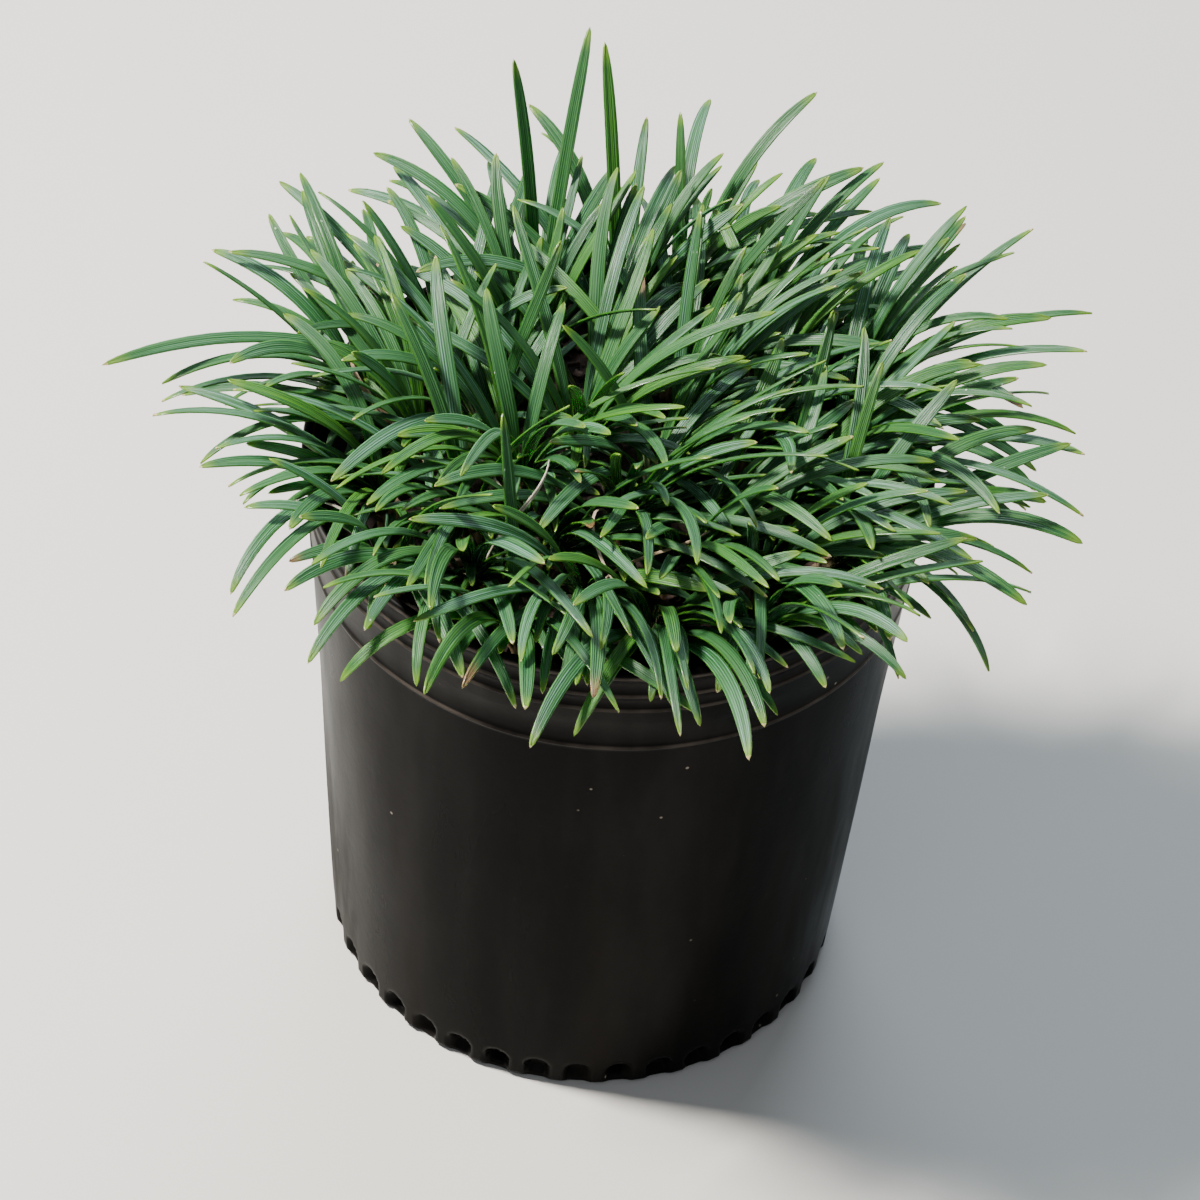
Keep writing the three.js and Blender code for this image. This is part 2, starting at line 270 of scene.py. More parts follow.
floor_paint, _, floor_shader = new_material("studio_floor")
floor_shader.inputs["Base Color"].default_value = FLOOR_COLOUR
floor_shader.inputs["Roughness"].default_value = FLOOR_ROUGHNESS
bm = bmesh.new()
bmesh.ops.create_grid(bm, x_segments=1, y_segments=1, size=FLOOR_SIZE / 2)
floor_mesh = bpy.data.meshes.new("floor")
bm.to_mesh(floor_mesh)
bm.free()
floor_mesh.materials.append(floor_paint)
floor = bpy.data.objects.new("floor", floor_mesh)
bpy.context.scene.collection.objects.link(floor)

world = bpy.data.worlds.new("studio")
world.use_nodes = True
sky = world.node_tree.nodes["Background"]
sky.inputs["Color"].default_value = SKY_COLOUR
sky.inputs["Strength"].default_value = SKY_STRENGTH
bpy.context.scene.world = world

LIGHTS = {
    "key": {"place": (-1.05, 0.04, 1.65), "size": 0.26, "watts": 126, "colour": (1.0, 0.965, 0.92)},
    "fill": {"place": (-0.5, -1.7, 1.5), "size": 1.6, "watts": 6, "colour": (0.90, 0.95, 1.0)},
    "sheen": {"place": (0.1, 1.5, 1.5), "size": 1.3, "watts": 30, "colour": (0.72, 0.87, 1.0)},
}
for name, lamp in LIGHTS.items():
    light = bpy.data.lights.new(name, "AREA")
    light.shape = "DISK"
    light.size = lamp["size"]
    light.energy = lamp["watts"]
    light.color = lamp["colour"]
    stand = bpy.data.objects.new(name, light)
    stand.location = lamp["place"]
    stand.rotation_euler = facing(Vector(lamp["place"]), VIEW_TARGET)
    bpy.context.scene.collection.objects.link(stand)
print("lights:", ", ".join(LIGHTS))

# %% [markdown]
# ## The pot's plastic
#
# Nursery pots are blow-moulded from recycled black polyethylene. The plastic is a warm black with a
# satin shine that varies from place to place, because the wall was blown against a mould and then
# handled: it has soft upright clouds, dusty patches low down, a few fine scuffs and pale specks of
# grit. A thin paler band is painted along each ring bead and the lip's edge as a highlight, where these
# ridges catch the light. Each of these is a weak pattern in object space, at the ring's height or as
# a noise.

# %% Black blow-moulded plastic
POT_HEIGHT = 173
BEADS_BELOW_TOP = (29, 14.5, 9)
LIP_EDGE_BELOW_TOP = 1.5
PLASTIC_DARK = (0.0033, 0.0032, 0.0030, 1)
PLASTIC_PALE = (0.0068, 0.0065, 0.0060, 1)
DUST = (0.021, 0.0175, 0.014, 1)
SCUFF = (0.034, 0.032, 0.029, 1)
# pale colour painted on the ring beads and the lip's edge as a highlight
RING_HIGHLIGHT = (0.075, 0.062, 0.051, 1)
GRIT = (0.20, 0.175, 0.14, 1)
DUST_TOP = 0.15
PLASTIC_IOR = 1.5
PLASTIC_GLOSS = 0.026

pot_plastic, tree, shader = new_material("black_blow_moulded_plastic")
place = node(tree, "TexCoord").outputs["Object"]
height = node(tree, "SeparateXYZ", Vector=place).outputs["Z"]
upright = node(tree, "Mapping", Vector=place, Scale=(1, 1, 0.22)).outputs[0]
clouds = speckle(tree, upright, 30, detail=5)
flow_marks = speckle(tree, upright, 75, detail=3)
scuffs = speckle(tree, place, 260, detail=7, roughness=0.65)
grains = node(tree, "TexVoronoi", Vector=place, Scale=95.0).outputs["Distance"]

plastic = blend_colours(tree, ramp_between(tree, flow_marks, 0.38, 0.72), PLASTIC_DARK, PLASTIC_PALE)
dusty = times(tree, ramp_between(tree, clouds, 0.46, 0.70), ramp_between(tree, height, DUST_TOP, 0.0))
dusted = blend_colours(tree, times(tree, dusty, 0.5), plastic, DUST)
scuffed = times(tree, ramp_between(tree, scuffs, 0.64, 0.76), 0.22)
marked = blend_colours(tree, scuffed, dusted, SCUFF)
ring_highlight_mask = 0.0
# painted highlight: a thin pale band at each ring bead and at the lip's edge
for below_top in (*BEADS_BELOW_TOP, LIP_EDGE_BELOW_TOP):
    from_ring = maths(tree, "SUBTRACT", height, (POT_HEIGHT - below_top) * MM)
    near = ramp_between(tree, maths(tree, "ABSOLUTE", from_ring), 0.0008, 0.0002)
    ring_highlight_mask = maths(tree, "ADD", ring_highlight_mask, near, clamp=True)
uneven_ring_highlight = times(tree, ring_highlight_mask, ramp_between(tree, flow_marks, 0.15, 0.75))
ring_highlighted = blend_colours(tree, times(tree, uneven_ring_highlight, 0.8), marked, RING_HIGHLIGHT)
gritty = times(tree, ramp_between(tree, grains, 0.055, 0.03), ramp_between(tree, clouds, 0.5, 0.56))
plug(tree, shader.inputs["Base Color"], blend_colours(tree, gritty, ring_highlighted, GRIT))

dullness = maths(tree, "MULTIPLY_ADD", clouds, 0.55, 0.04)
plug(tree, shader.inputs["Roughness"], maths(tree, "ADD", dullness, times(tree, dusty, 0.25)))
shader.inputs["IOR"].default_value = PLASTIC_IOR
shader.inputs["Specular IOR Level"].default_value = PLASTIC_GLOSS
ripple = relief(tree, speckle(tree, upright, 22, detail=2), 0.0012)
plug(tree, shader.inputs["Normal"], relief(tree, scuffs, 0.00005, under=ripple))
print("plastic nodes:", len(tree.nodes))

# %% [markdown]
# ## The pot
#
# The pot is a shell turned round its axis, so it starts as one profile: up the outside, past three
# raised ring beads, over a rolled lip, down the inside and across the floor. Spinning it gives the
# round wall. Its foot isn't round: it is pressed in all round by small arched niches, with soft edges
# because the plastic was blown into them. A spin with many columns and a rule that pushes the foot's
# vertices inwards makes those soft arches, which a boolean cut would leave sharp.

# %% The pot's other sizes, as in the solid model, and its profile
POT_TOP_RADIUS = 84
POT_FOOT_RADIUS = 71
WALL = 1.8
FLOOR_THICKNESS = 2.4
LIP_HEIGHT = 3
LIP_OVERHANG = 1.2
BEAD_HEIGHT = 1.8
FOOT_BAND = 12
FOOT_STEP = 4
FOOT_THICKNESS = 6
NICHES = 39
NICHE_WIDTH = 5.8
NICHE_HEIGHT = 8.6
NICHE_DEPTH = 4
DRAIN_EVERY = 3

BEAD_RISE = 0.42
BEAD_STEPS = 8
BEAD_SLANT = 0.62
LIP_ROUND = 1.4
LIP_TURN = (-35, 170)
LIP_STEPS = 8
BASE_ROWS = (0, 20, 40, 60, 66)
BASE_EDGE = ((2.8, 0), (1.5, 0.25), (0.55, 0.8))
FOOT_ROWS = (1.7, 2.6, 3.4, 4.4, 5.4, 6.4, 7.4, 8.4, 9.4, 10.6, 12)


def wall_radius(z):
    """The outside radius of the pot's plain wall at a height."""
    return mix(POT_FOOT_RADIUS, POT_TOP_RADIUS - LIP_OVERHANG, z / POT_HEIGHT)


def bead_profile(below_top):
    """One ring bead: a small ridge, steep underneath and sloping gently back above."""
    middle = POT_HEIGHT - below_top
    points = []
    for step in range(BEAD_STEPS + 1):
        z = middle + BEAD_HEIGHT * (step / BEAD_STEPS - 0.5)
        hump = math.sin(math.pi * (step / BEAD_STEPS) ** BEAD_SLANT)
        points.append((wall_radius(z) + BEAD_RISE * hump, z))
    return points


def outer_profile():
    """From the underside's middle, round the foot's edge and up past the beads."""
    points = [(radius, 0) for radius in BASE_ROWS]
    points += [(POT_FOOT_RADIUS - inwards, z) for inwards, z in BASE_EDGE]
    points += [(wall_radius(z), z) for z in FOOT_ROWS]
    lowest_bead = POT_HEIGHT - BEADS_BELOW_TOP[0] - BEAD_HEIGHT
    points += [(wall_radius(z), z) for z in np.linspace(FOOT_BAND + 3, lowest_bead, 18)]
    for below_top in BEADS_BELOW_TOP:
        above = POT_HEIGHT - below_top + 2.2
        points += [*bead_profile(below_top), (wall_radius(above), above)]
    return points


def lip_profile():
    """Over the rolled lip, from the neck under it to its inner edge."""
    under = POT_HEIGHT - LIP_HEIGHT
    neck = wall_radius(under)
    points = [(neck, under - 0.4), (neck + 0.5, under)]
    for step in range(LIP_STEPS + 1):
        turn = math.radians(mix(*LIP_TURN, step / LIP_STEPS))
        radius = POT_TOP_RADIUS - LIP_ROUND + LIP_ROUND * math.cos(turn)
        points.append((radius, POT_HEIGHT - LIP_ROUND + LIP_ROUND * math.sin(turn)))
    return points


def inner_profile():
    """Down the inside of the wall and across the floor to its middle."""
    inner_foot = POT_FOOT_RADIUS - FOOT_THICKNESS
    points = [(POT_TOP_RADIUS - LIP_OVERHANG - WALL, POT_HEIGHT - 2.6)]
    points += [(wall_radius(z) - WALL, z) for z in np.linspace(POT_HEIGHT - 6, FOOT_BAND + FOOT_STEP, 16)]
    points += [(inner_foot, z) for z in reversed(FOOT_ROWS[1:])]
    points += [(inner_foot * share, FLOOR_THICKNESS) for share in (0.8, 0.5, 0.2, 0)]
    return points


pot_profile = outer_profile() + lip_profile() + inner_profile()
print("profile points:", len(pot_profile))

# %% Spin the profile and press the niches into the foot
TURN_OF_NICHE = 2 * math.pi / NICHES
COLUMNS_PER_NICHE = 14
NICHE_FLARE = 2.4
NICHE_SILL = 0.1
NICHE_SILL_HEIGHT = 4.6
SKIN_DEPTH = 3.4
WELD = 0.02


def spun(profile, columns):
    """A bmesh made by turning a profile of (radius, height) round the pot's axis."""
    bm = bmesh.new()
    points = [bm.verts.new((radius, 0, z)) for radius, z in profile]
    edges = [bm.edges.new(pair) for pair in zip(points, points[1:])]
    bmesh.ops.spin(bm, geom=points + edges, axis=(0, 0, 1), cent=(0, 0, 0), angle=2 * math.pi,
                   steps=columns, use_merge=True)
    bmesh.ops.remove_doubles(bm, verts=bm.verts, dist=WELD)
    return bm


def set_radius(vert, radius, wanted):
    """Moves a vertex straight in or out from one radius to another."""
    vert.co.x *= wanted / radius
    vert.co.y *= wanted / radius


def niche_offset(bearing, radius):
    """How far round from the nearest niche's middle, in millimetres, and that niche's number."""
    number = math.floor(bearing / TURN_OF_NICHE)
    return (bearing - (number + 0.5) * TURN_OF_NICHE) * radius, number % NICHES


def niche_share(across, z):
    """1 well inside a niche's arch, 0 outside it, with a soft edge."""
    half = NICHE_WIDTH / 2
    spring = NICHE_HEIGHT - half
    edge = abs(across) - half if z < spring else math.hypot(across, z - spring) - half
    return ease(min(1, max(0, 0.5 - edge / NICHE_FLARE)))


def press_niches(bm):
    """Pushes the outside of the foot inwards at each niche."""
    for vert in bm.verts:
        radius = math.hypot(vert.co.x, vert.co.y)
        if vert.co.z > NICHE_HEIGHT + 2 or radius < wall_radius(vert.co.z) - SKIN_DEPTH:
            continue
        across, _ = niche_offset(math.atan2(vert.co.y, vert.co.x) % (2 * math.pi), radius)
        low_down = mix(NICHE_SILL, 1, ease(min(1, vert.co.z / NICHE_SILL_HEIGHT)))
        set_radius(vert, radius, radius - NICHE_DEPTH * low_down * niche_share(across, vert.co.z))


pot_bm = spun(pot_profile, NICHES * COLUMNS_PER_NICHE)
press_niches(pot_bm)
bmesh.ops.recalc_face_normals(pot_bm, faces=pot_bm.faces)
print("pot faces:", len(pot_bm.faces))

# %% [markdown]
# Every third niche is a drain. The shell is two skins with the same columns, so a drain is made by
# taking the same small patch out of both skins and bridging the two open edges with a short tunnel.

# %% Open the drains
DRAIN_HALF_WIDTH = 1.7
DRAIN_LOW = 2.4
DRAIN_HIGH = 7.4
WALL_BEYOND = 60
SAME_DRAIN = 0.99


def drain_patches(bm):
    """For each drain, the faces that its tunnel replaces on the outer and on the inner skin."""
    patches = {}
    for face in bm.faces:
        middle = face.calc_center_median()
        if not DRAIN_LOW < middle.z < DRAIN_HIGH:
            continue
        radius = math.hypot(middle.x, middle.y)
        across, number = niche_offset(math.atan2(middle.y, middle.x) % (2 * math.pi), POT_FOOT_RADIUS)
        if number % DRAIN_EVERY == 0 and abs(across) < DRAIN_HALF_WIDTH and radius > WALL_BEYOND:
            patches.setdefault(number, []).append(face)
    return patches


for faces in drain_patches(pot_bm).values():
    bmesh.ops.delete(pot_bm, geom=faces, context="FACES")
open_edges = [edge for edge in pot_bm.edges if edge.is_boundary]
for number in range(0, NICHES, DRAIN_EVERY):
    bearing = (number + 0.5) * TURN_OF_NICHE
    towards = Vector((math.cos(bearing), math.sin(bearing)))
    ring = [edge for edge in open_edges
            if edge.is_valid and edge.verts[0].co.xy.normalized().dot(towards) > SAME_DRAIN]
    bmesh.ops.bridge_loops(pot_bm, edges=ring)
print("open edges left:", sum(edge.is_boundary for edge in pot_bm.edges))

# %% [markdown]
# A blown wall is never a true cone. It is squeezed a little out of round at the rim, where it has been
# carried by its edge, and it has slow hollows between the rings. Both only ever go inwards, so the pot
# stays inside its real size.

# %% Make the wall a little uneven and finish the pot
OVAL_SQUEEZE = 0.8
OVAL_BEARING = math.radians(45)
SQUEEZE_RISE = 100
HOLLOW_DEPTH = 0.55
HOLLOW_SIZE = 38

for vert in pot_bm.verts:
    radius = math.hypot(vert.co.x, vert.co.y)
    if radius < WALL_BEYOND or vert.co.z < FOOT_BAND:
        continue
    bearing = math.atan2(vert.co.y, vert.co.x)
    up = ease(min(1, (vert.co.z - FOOT_BAND) / SQUEEZE_RISE))
    oval = OVAL_SQUEEZE * math.sin(bearing - OVAL_BEARING) ** 2
    hollow = HOLLOW_DEPTH * (0.5 + 0.5 * noise.noise(vert.co / HOLLOW_SIZE))
    set_radius(vert, radius, radius - up * (oval + hollow))
bmesh.ops.scale(pot_bm, vec=(MM, MM, MM), verts=pot_bm.verts)
pot = piece_from(pot_bm, "pot_shell", [pot_plastic], replaces=["pot"])
print("pot:", [round(d / MM, 1) for d in pot.dimensions], "mm")

# %% [markdown]
# ## Bark potting mix
#
# The mix is composted pine bark: dark, damp, purple-brown fines with flat chips on top. Up close it is
# all lumps, so a smooth disc with a bump map would look wrong in the gaps between the leaves. A bumpy
# surface made from a spun disc carries some hundreds of separate chips, each a cube with its corners
# knocked about. The finish is shared, and each chip has a tone of its own in an attribute.

# %% Damp bark finish
FINES_DARK = (0.0085, 0.0060, 0.0045, 1)
FINES_PALE = (0.036, 0.023, 0.016, 1)
CHIP_DARK = (0.030, 0.017, 0.012, 1)
CHIP_PALE = (0.125, 0.078, 0.058, 1)
SPLINTER = (0.30, 0.215, 0.13, 1)

bark, tree, shader = new_material("damp_bark_mix")
place = node(tree, "TexCoord").outputs["Object"]
tone = attribute(tree, "tone")
grain = speckle(tree, place, 900, detail=6, roughness=0.7)
fines = blend_colours(tree, speckle(tree, place, 160), FINES_DARK, FINES_PALE)
chip_brown = blend_colours(tree, grain, CHIP_DARK, CHIP_PALE)
browned = blend_colours(tree, tone, fines, chip_brown)
splintered = times(tree, ramp_between(tree, tone, 0.93, 0.97), 0.8)
plug(tree, shader.inputs["Base Color"], blend_colours(tree, splintered, browned, SPLINTER))
plug(tree, shader.inputs["Roughness"], ramp_between(tree, grain, -0.9, 0.7))
plug(tree, shader.inputs["Normal"], relief(tree, grain, 0.0007))
print("bark nodes:", len(tree.nodes))

# %% The filled inside of the pot, with a lumpy top
SOIL_BELOW_RIM = 14
SOIL_TOP = POT_HEIGHT - SOIL_BELOW_RIM
CLEARANCE = 0.35
SOIL_RINGS = 44
SOIL_COLUMNS = 180
SOIL_SHOULDER = 2.2
SOIL_SINK = 1.2
LUMP_SIZE = 4.5
LUMP_HEIGHT = 1.14

step_top = FOOT_BAND + FOOT_STEP + 1
top_radius = wall_radius(SOIL_TOP) - WALL - CLEARANCE - 1.0
foot_radius = POT_FOOT_RADIUS - FOOT_THICKNESS - CLEARANCE
soil_profile = [(0, FLOOR_THICKNESS + CLEARANCE), (foot_radius, FLOOR_THICKNESS + CLEARANCE)]
soil_profile += [(foot_radius, FOOT_BAND), (wall_radius(step_top) - WALL - CLEARANCE - 0.4, step_top)]
soil_profile += [(top_radius, SOIL_TOP - SOIL_SHOULDER)]
for ring in range(1, SOIL_RINGS + 1):
    soil_profile.append((top_radius * (1 - ring / SOIL_RINGS), SOIL_TOP - SOIL_SINK))
bm = spun(soil_profile, SOIL_COLUMNS)
for vert in bm.verts:
    if vert.co.z > SOIL_TOP - SOIL_SHOULDER + 0.5:
        flat = Vector((vert.co.x, vert.co.y, 0))
        lumps = noise.noise(flat / LUMP_SIZE) + 0.6 * noise.noise(flat / (0.4 * LUMP_SIZE))
        vert.co.z += LUMP_HEIGHT * lumps
bmesh.ops.recalc_face_normals(bm, faces=bm.faces)
bmesh.ops.scale(bm, vec=(MM, MM, MM), verts=bm.verts)
bm.verts.layers.float.new("tone")
soil = piece_from(bm, "bark_mix_bed", [bark], replaces=["potting_mix"])
print("mix:", [round(d / MM, 1) for d in soil.dimensions], "mm")

# %% Loose bark chips on the mix
CHIPS = 620
CHIP_SPREAD = 77
CHIP_LENGTH = (2.2, 9.5)
CHIP_WIDTH_SHARE = (0.3, 0.7)
CHIP_THICKNESS = (0.8, 2.0)
CHIP_TILT = (-28, 28)
CHIP_SINK = (-0.8, 1.0)
CHIP_KNOCKS = 0.45
CHIP_EDGE = 0.3

draw = draws_from(31)
bm = bmesh.new()
tone_layer = bm.verts.layers.float.new("tone")
for _ in range(CHIPS):
    reach = CHIP_SPREAD * math.sqrt(draw())
    bearing = 2 * math.pi * draw()
    long = mix(*CHIP_LENGTH, draw() ** 2)
    size = Vector((long, long * mix(*CHIP_WIDTH_SHARE, draw()), mix(*CHIP_THICKNESS, draw())))
    turn = Matrix.Rotation(2 * math.pi * draw(), 4, "Z")
    tilt = Matrix.Rotation(math.radians(mix(*CHIP_TILT, draw())), 4, "X")
    level = SOIL_TOP + mix(*CHIP_SINK, draw())
    spot = Matrix.Translation((reach * math.cos(bearing), reach * math.sin(bearing), level))
    chip = bmesh.ops.create_cube(bm, size=1, matrix=spot @ turn @ tilt @ Matrix.Diagonal((*size, 1)))
    shade = draw()
    for vert in chip["verts"]:
        vert.co += Vector((draw() - 0.5, draw() - 0.5, draw() - 0.5)) * CHIP_KNOCKS * size.y
        vert[tone_layer] = shade
bmesh.ops.scale(bm, vec=(MM, MM, MM), verts=bm.verts)
chips = piece_from(bm, "bark_chips", [bark])
bevel = chips.modifiers.new("worn_edges", "BEVEL")
bevel.width = CHIP_EDGE * MM
bevel.segments = 1
print("chips:", CHIPS)

# %% [markdown]
# ## How the leaves grow
#
# The tufts stand on a sunflower spiral, which fills a round pot evenly. In each tuft the oldest leaves
# are the longest and lowest and the youngest stand up in the middle. A leaf is a curve that leaves the
# crown at one pitch and bends steadily to another, turning and rolling a little on the way. A leaf
# that would cross another is turned and raised until it is clear, as it would be in life.
#
# The solid model grows its blades by this same rule and the same draws, so the leaves made here lie
# exactly where its blades do. The rule is therefore written out again below, with the same numbers.

# %% The rule's numbers, as in the solid model
TUFTS = 34
PLANTED_RADIUS = 71
GOLDEN_ANGLE = math.pi * (3 - math.sqrt(5))
PARTING_X = -16
CROWN_RADIUS = 5
CROWN_DEPTH = 10
CROWN_RISE = 7
BLADES_PER_TUFT = 13
BLADE_LENGTH = 74
BLADE_WIDTH = 4.5
BLADE_KEEL = 0.9
BLADE_GAP = 0.12
ROOT_WIDTH = 0.36
WIDEST_AT = 0.35
SHEATH = 0.8
CURVE_STEPS = 24
BLADE_STATIONS = (0, 7, 14, 22, 24)
RIM_CLEARANCE = 3
MIX_CLEARANCE = 2.5
TRIES = 24
FAN = (130, 62)
LOW_PITCH = (60, 50)
LOW_TIP_PITCH = (-8, -36)
HIGH_PITCH = (72, 72)
HIGH_TIP_PITCH = (25, -12)

# The blades that stand out of the mound: tuft, bearing, length, pitch at the root and at the tip.
LONG_BLADES = (
    (7, 113, 77, 80, 58),
    (7, 95, 85, 80, 58),
    (15, 107, 85, 78, 52),
    (12, 208, 109, 45, -5),
    (4, 197, 66, 40, -10),
    (9, 209, 57, 45, -25),
    (5, 2, 74, 45, -15),
    (8, 4, 70, 40, -5),
    (13, 353, 72, 50, -10),
    (5, 27, 73, 50, 0),
    (8, 315, 66, 58, -65),
    (3, 260, 44, 66, -62),
    (3, 310, 48, 66, -62),
    (6, 229, 61, 60, -62),
    (1, 235, 51, 60, -55),
    (12, 145, 72, 55, 0),
    (7, 141, 67, 60, 15),
    (15, 87, 63, 70, 30),
    (2, 64, 48, 65, 20),
    (10, 43, 63, 62, 14),
    (5, 57, 64, 60, 10),
    (18, 20, 80, 55, 10),
)


def tuft_places():
    """Each tuft's x, y, distance from the middle and bearing, the outermost tuft first."""
    places = []
    for number in reversed(range(TUFTS)):
        reach = PLANTED_RADIUS * math.sqrt((number + 0.5) / TUFTS)
        bearing = number * GOLDEN_ANGLE
        places.append((reach * math.cos(bearing), reach * math.sin(bearing), reach, bearing))
    return places


print("tufts:", len(tuft_places()))

# %% A leaf's curve from its root to its tip


def width_at(share, full):
    """A leaf's width at a share of its length: narrow at the root, then full, then rounded off."""
    rising = full * mix(ROOT_WIDTH, 1, ease(np.minimum(share, WIDEST_AT) / WIDEST_AT))
    past = np.maximum(share - WIDEST_AT, 0) / (1 - WIDEST_AT)
    return np.where(share < WIDEST_AT, rising, full * np.sqrt(np.maximum(0, 1 - past**3.2)))


def leaf_curve(wish, root):
    """Arrays along the leaf: place, sideways and upward directions, and width."""
    share = np.arange(CURVE_STEPS + 1) / CURVE_STEPS
    heading = wish["bearing"] + wish["turn"] * share * share
    rise = mix(wish["pitch"], wish["tip_pitch"], share**1.15)
    flat = np.zeros_like(share)
    along = np.stack([np.cos(rise) * np.cos(heading), np.cos(rise) * np.sin(heading), np.sin(rise)], axis=1)
    level = np.stack([-np.sin(heading), np.cos(heading), flat], axis=1)
    upper = np.cross(along, level)
    lean = (wish["roll"] * ease(share))[:, None]
    side = level * np.cos(lean) + upper * np.sin(lean)
    face = np.cross(along, side)
    steps = np.cumsum(along[:-1] * (wish["length"] / CURVE_STEPS), axis=0)
    place = np.vstack([root, root + steps])
    width = width_at(share, wish["width"])
    return {"place": place, "side": side, "face": face, "width": width,
            "full_width": wish["width"], "inner": wish["inner"]}


def leaf_wish(tuft, inner, draw):
    """What a leaf would like to be. inner is 0 for a tuft's oldest leaf and 1 for its youngest."""
    x, y, reach, _ = tuft
    outer = reach / PLANTED_RADIUS
    flow = math.atan2(y, x - PARTING_X)

    def lean(low, high):
        return DEGREE * mix(mix(*low, outer), mix(*high, outer), inner)

    return {
        "bearing": flow + mix(*FAN, outer) * DEGREE * (2 * draw() - 1),
        "turn": 60 * DEGREE * (draw() - 0.5),
        "pitch": lean(LOW_PITCH, HIGH_PITCH),
        "tip_pitch": lean(LOW_TIP_PITCH, HIGH_TIP_PITCH) + 30 * DEGREE * (draw() - 0.5),
        "length": BLADE_LENGTH * mix(1, 0.72, inner) * mix(0.8, 1.12, draw()),
        "width": BLADE_WIDTH * mix(0.8, 1.1, draw()),
        "roll": 80 * DEGREE * (draw() - 0.5),
        "inner": inner,
    }


def long_wish(row, draw):
    """One of the listed long leaves, as a wish."""
    _, bearing, length, pitch, tip_pitch = row
    return {
        "bearing": math.radians(bearing),
        "turn": 20 * DEGREE * (draw() - 0.5),
        "pitch": math.radians(pitch),
        "tip_pitch": math.radians(tip_pitch),
        "length": length,
        "width": BLADE_WIDTH * mix(0.85, 1, draw()),
        "roll": 60 * DEGREE * (draw() - 0.5),
        "inner": 0.2,
    }


def root_of(tuft, wish):
    """Where a leaf leaves its tuft: the oldest ones round the outside of the crown."""
    out = mix(3.6, 0.6, wish["inner"])
    x = tuft[0] + out * math.cos(wish["bearing"])
    y = tuft[1] + out * math.sin(wish["bearing"])
    return np.array([x, y, SOIL_TOP + mix(2.5, 5, wish["inner"])])


print("steps along a leaf:", CURVE_STEPS)

# %% [markdown]
# Whether two leaves cross is tested on boxes, which is quick and errs on the safe side. Each leaf is
# four straight stretches with a turned box round each. Two boxes are apart if a plane fits between
# them, and it is enough to try fifteen directions for that plane. The boxes are kept in one table, so
# that one sum tests a leaf against the whole plant.

# %% Turned boxes and the test for a crossing
PAIRS_OF_AXES = [(i, j) for i in range(3) for j in range(3)]


def boxes_round(sections, levels, gap):
    """Boxes round each stretch between neighbouring sections of three corners: (centre, axes, reach)."""
    start, end = sections[:-1], sections[1:]
    along = (end[:, 0] + end[:, 1] - start[:, 0] - start[:, 1]) / 2
    along /= np.linalg.norm(along, axis=1, keepdims=True)
    face = np.cross(along, levels)
    face /= np.linalg.norm(face, axis=1, keepdims=True)
    axes = np.stack([along, np.cross(face, along), face], axis=1)
    corners = np.concatenate([start, end], axis=1)
    spots = np.einsum("bcx,bax->bac", corners, axes)
    low, high = spots.min(axis=2), spots.max(axis=2)
    centre = np.einsum("ba,bax->bx", (low + high) / 2, axes)
    return centre, axes, (high - low) / 2 + gap


def leaf_boxes(curve, stations=BLADE_STATIONS, keel=BLADE_KEEL, gap=BLADE_GAP):
    """A leaf's boxes between stations along it. The first box is round its sheathed root."""
    at = list(stations)
    place, side, face = curve["place"][at], curve["side"][at], curve["face"][at]
    half = side * curve["width"][at][:, None] / 2
    sections = np.stack([place + half, place - half, place - face * keel], axis=1)
    sheath = mix(sections[0], sections[1], SHEATH)
    last = len(at) - 1
    levels = side[[0, *range(last)]] + side[[1, *range(1, last + 1)]]
    return boxes_round(np.stack([sections[0], sheath, *sections[1:]]), levels, gap)


def boxes_meet(a, b):
    """Separating axis test on matching rows of boxes: True where the pair meets."""
    turn = a[1] @ b[1].transpose(0, 2, 1)
    tilt = np.abs(turn)
    apart = b[0] - a[0]
    in_a = np.einsum("nax,nx->na", a[1], apart)
    in_b = np.einsum("nax,nx->na", b[1], apart)
    meet = (np.abs(in_a) <= a[2] + np.einsum("nab,nb->na", tilt, b[2])).all(axis=1)
    meet &= (np.abs(in_b) <= b[2] + np.einsum("nab,na->nb", tilt, a[2])).all(axis=1)
    left = np.flatnonzero(meet)
    turn, tilt, in_a, a_reach, b_reach = turn[left], tilt[left], in_a[left], a[2][left], b[2][left]
    for i, j in PAIRS_OF_AXES:
        i1, i2, j1, j2 = (i + 1) % 3, (i + 2) % 3, (j + 1) % 3, (j + 2) % 3
        gap = np.abs(in_a[:, i2] * turn[:, i1, j] - in_a[:, i1] * turn[:, i2, j])
        reach = a_reach[:, i1] * tilt[:, i2, j] + a_reach[:, i2] * tilt[:, i1, j]
        reach += b_reach[:, j1] * tilt[:, i, j2] + b_reach[:, j2] * tilt[:, i, j1]
        parallel = turn[:, i, j] ** 2 > 1 - 1e-6
        meet[left] &= (gap <= reach) | parallel
    return meet


print("directions tried for a plane:", 6 + len(PAIRS_OF_AXES))

# %% [markdown]
# The table of boxes starts with the tufts' crowns. A leaf is tried, turned and raised, and tried
# again, up to a fixed number of times.

# %% The bed that the leaves grow in


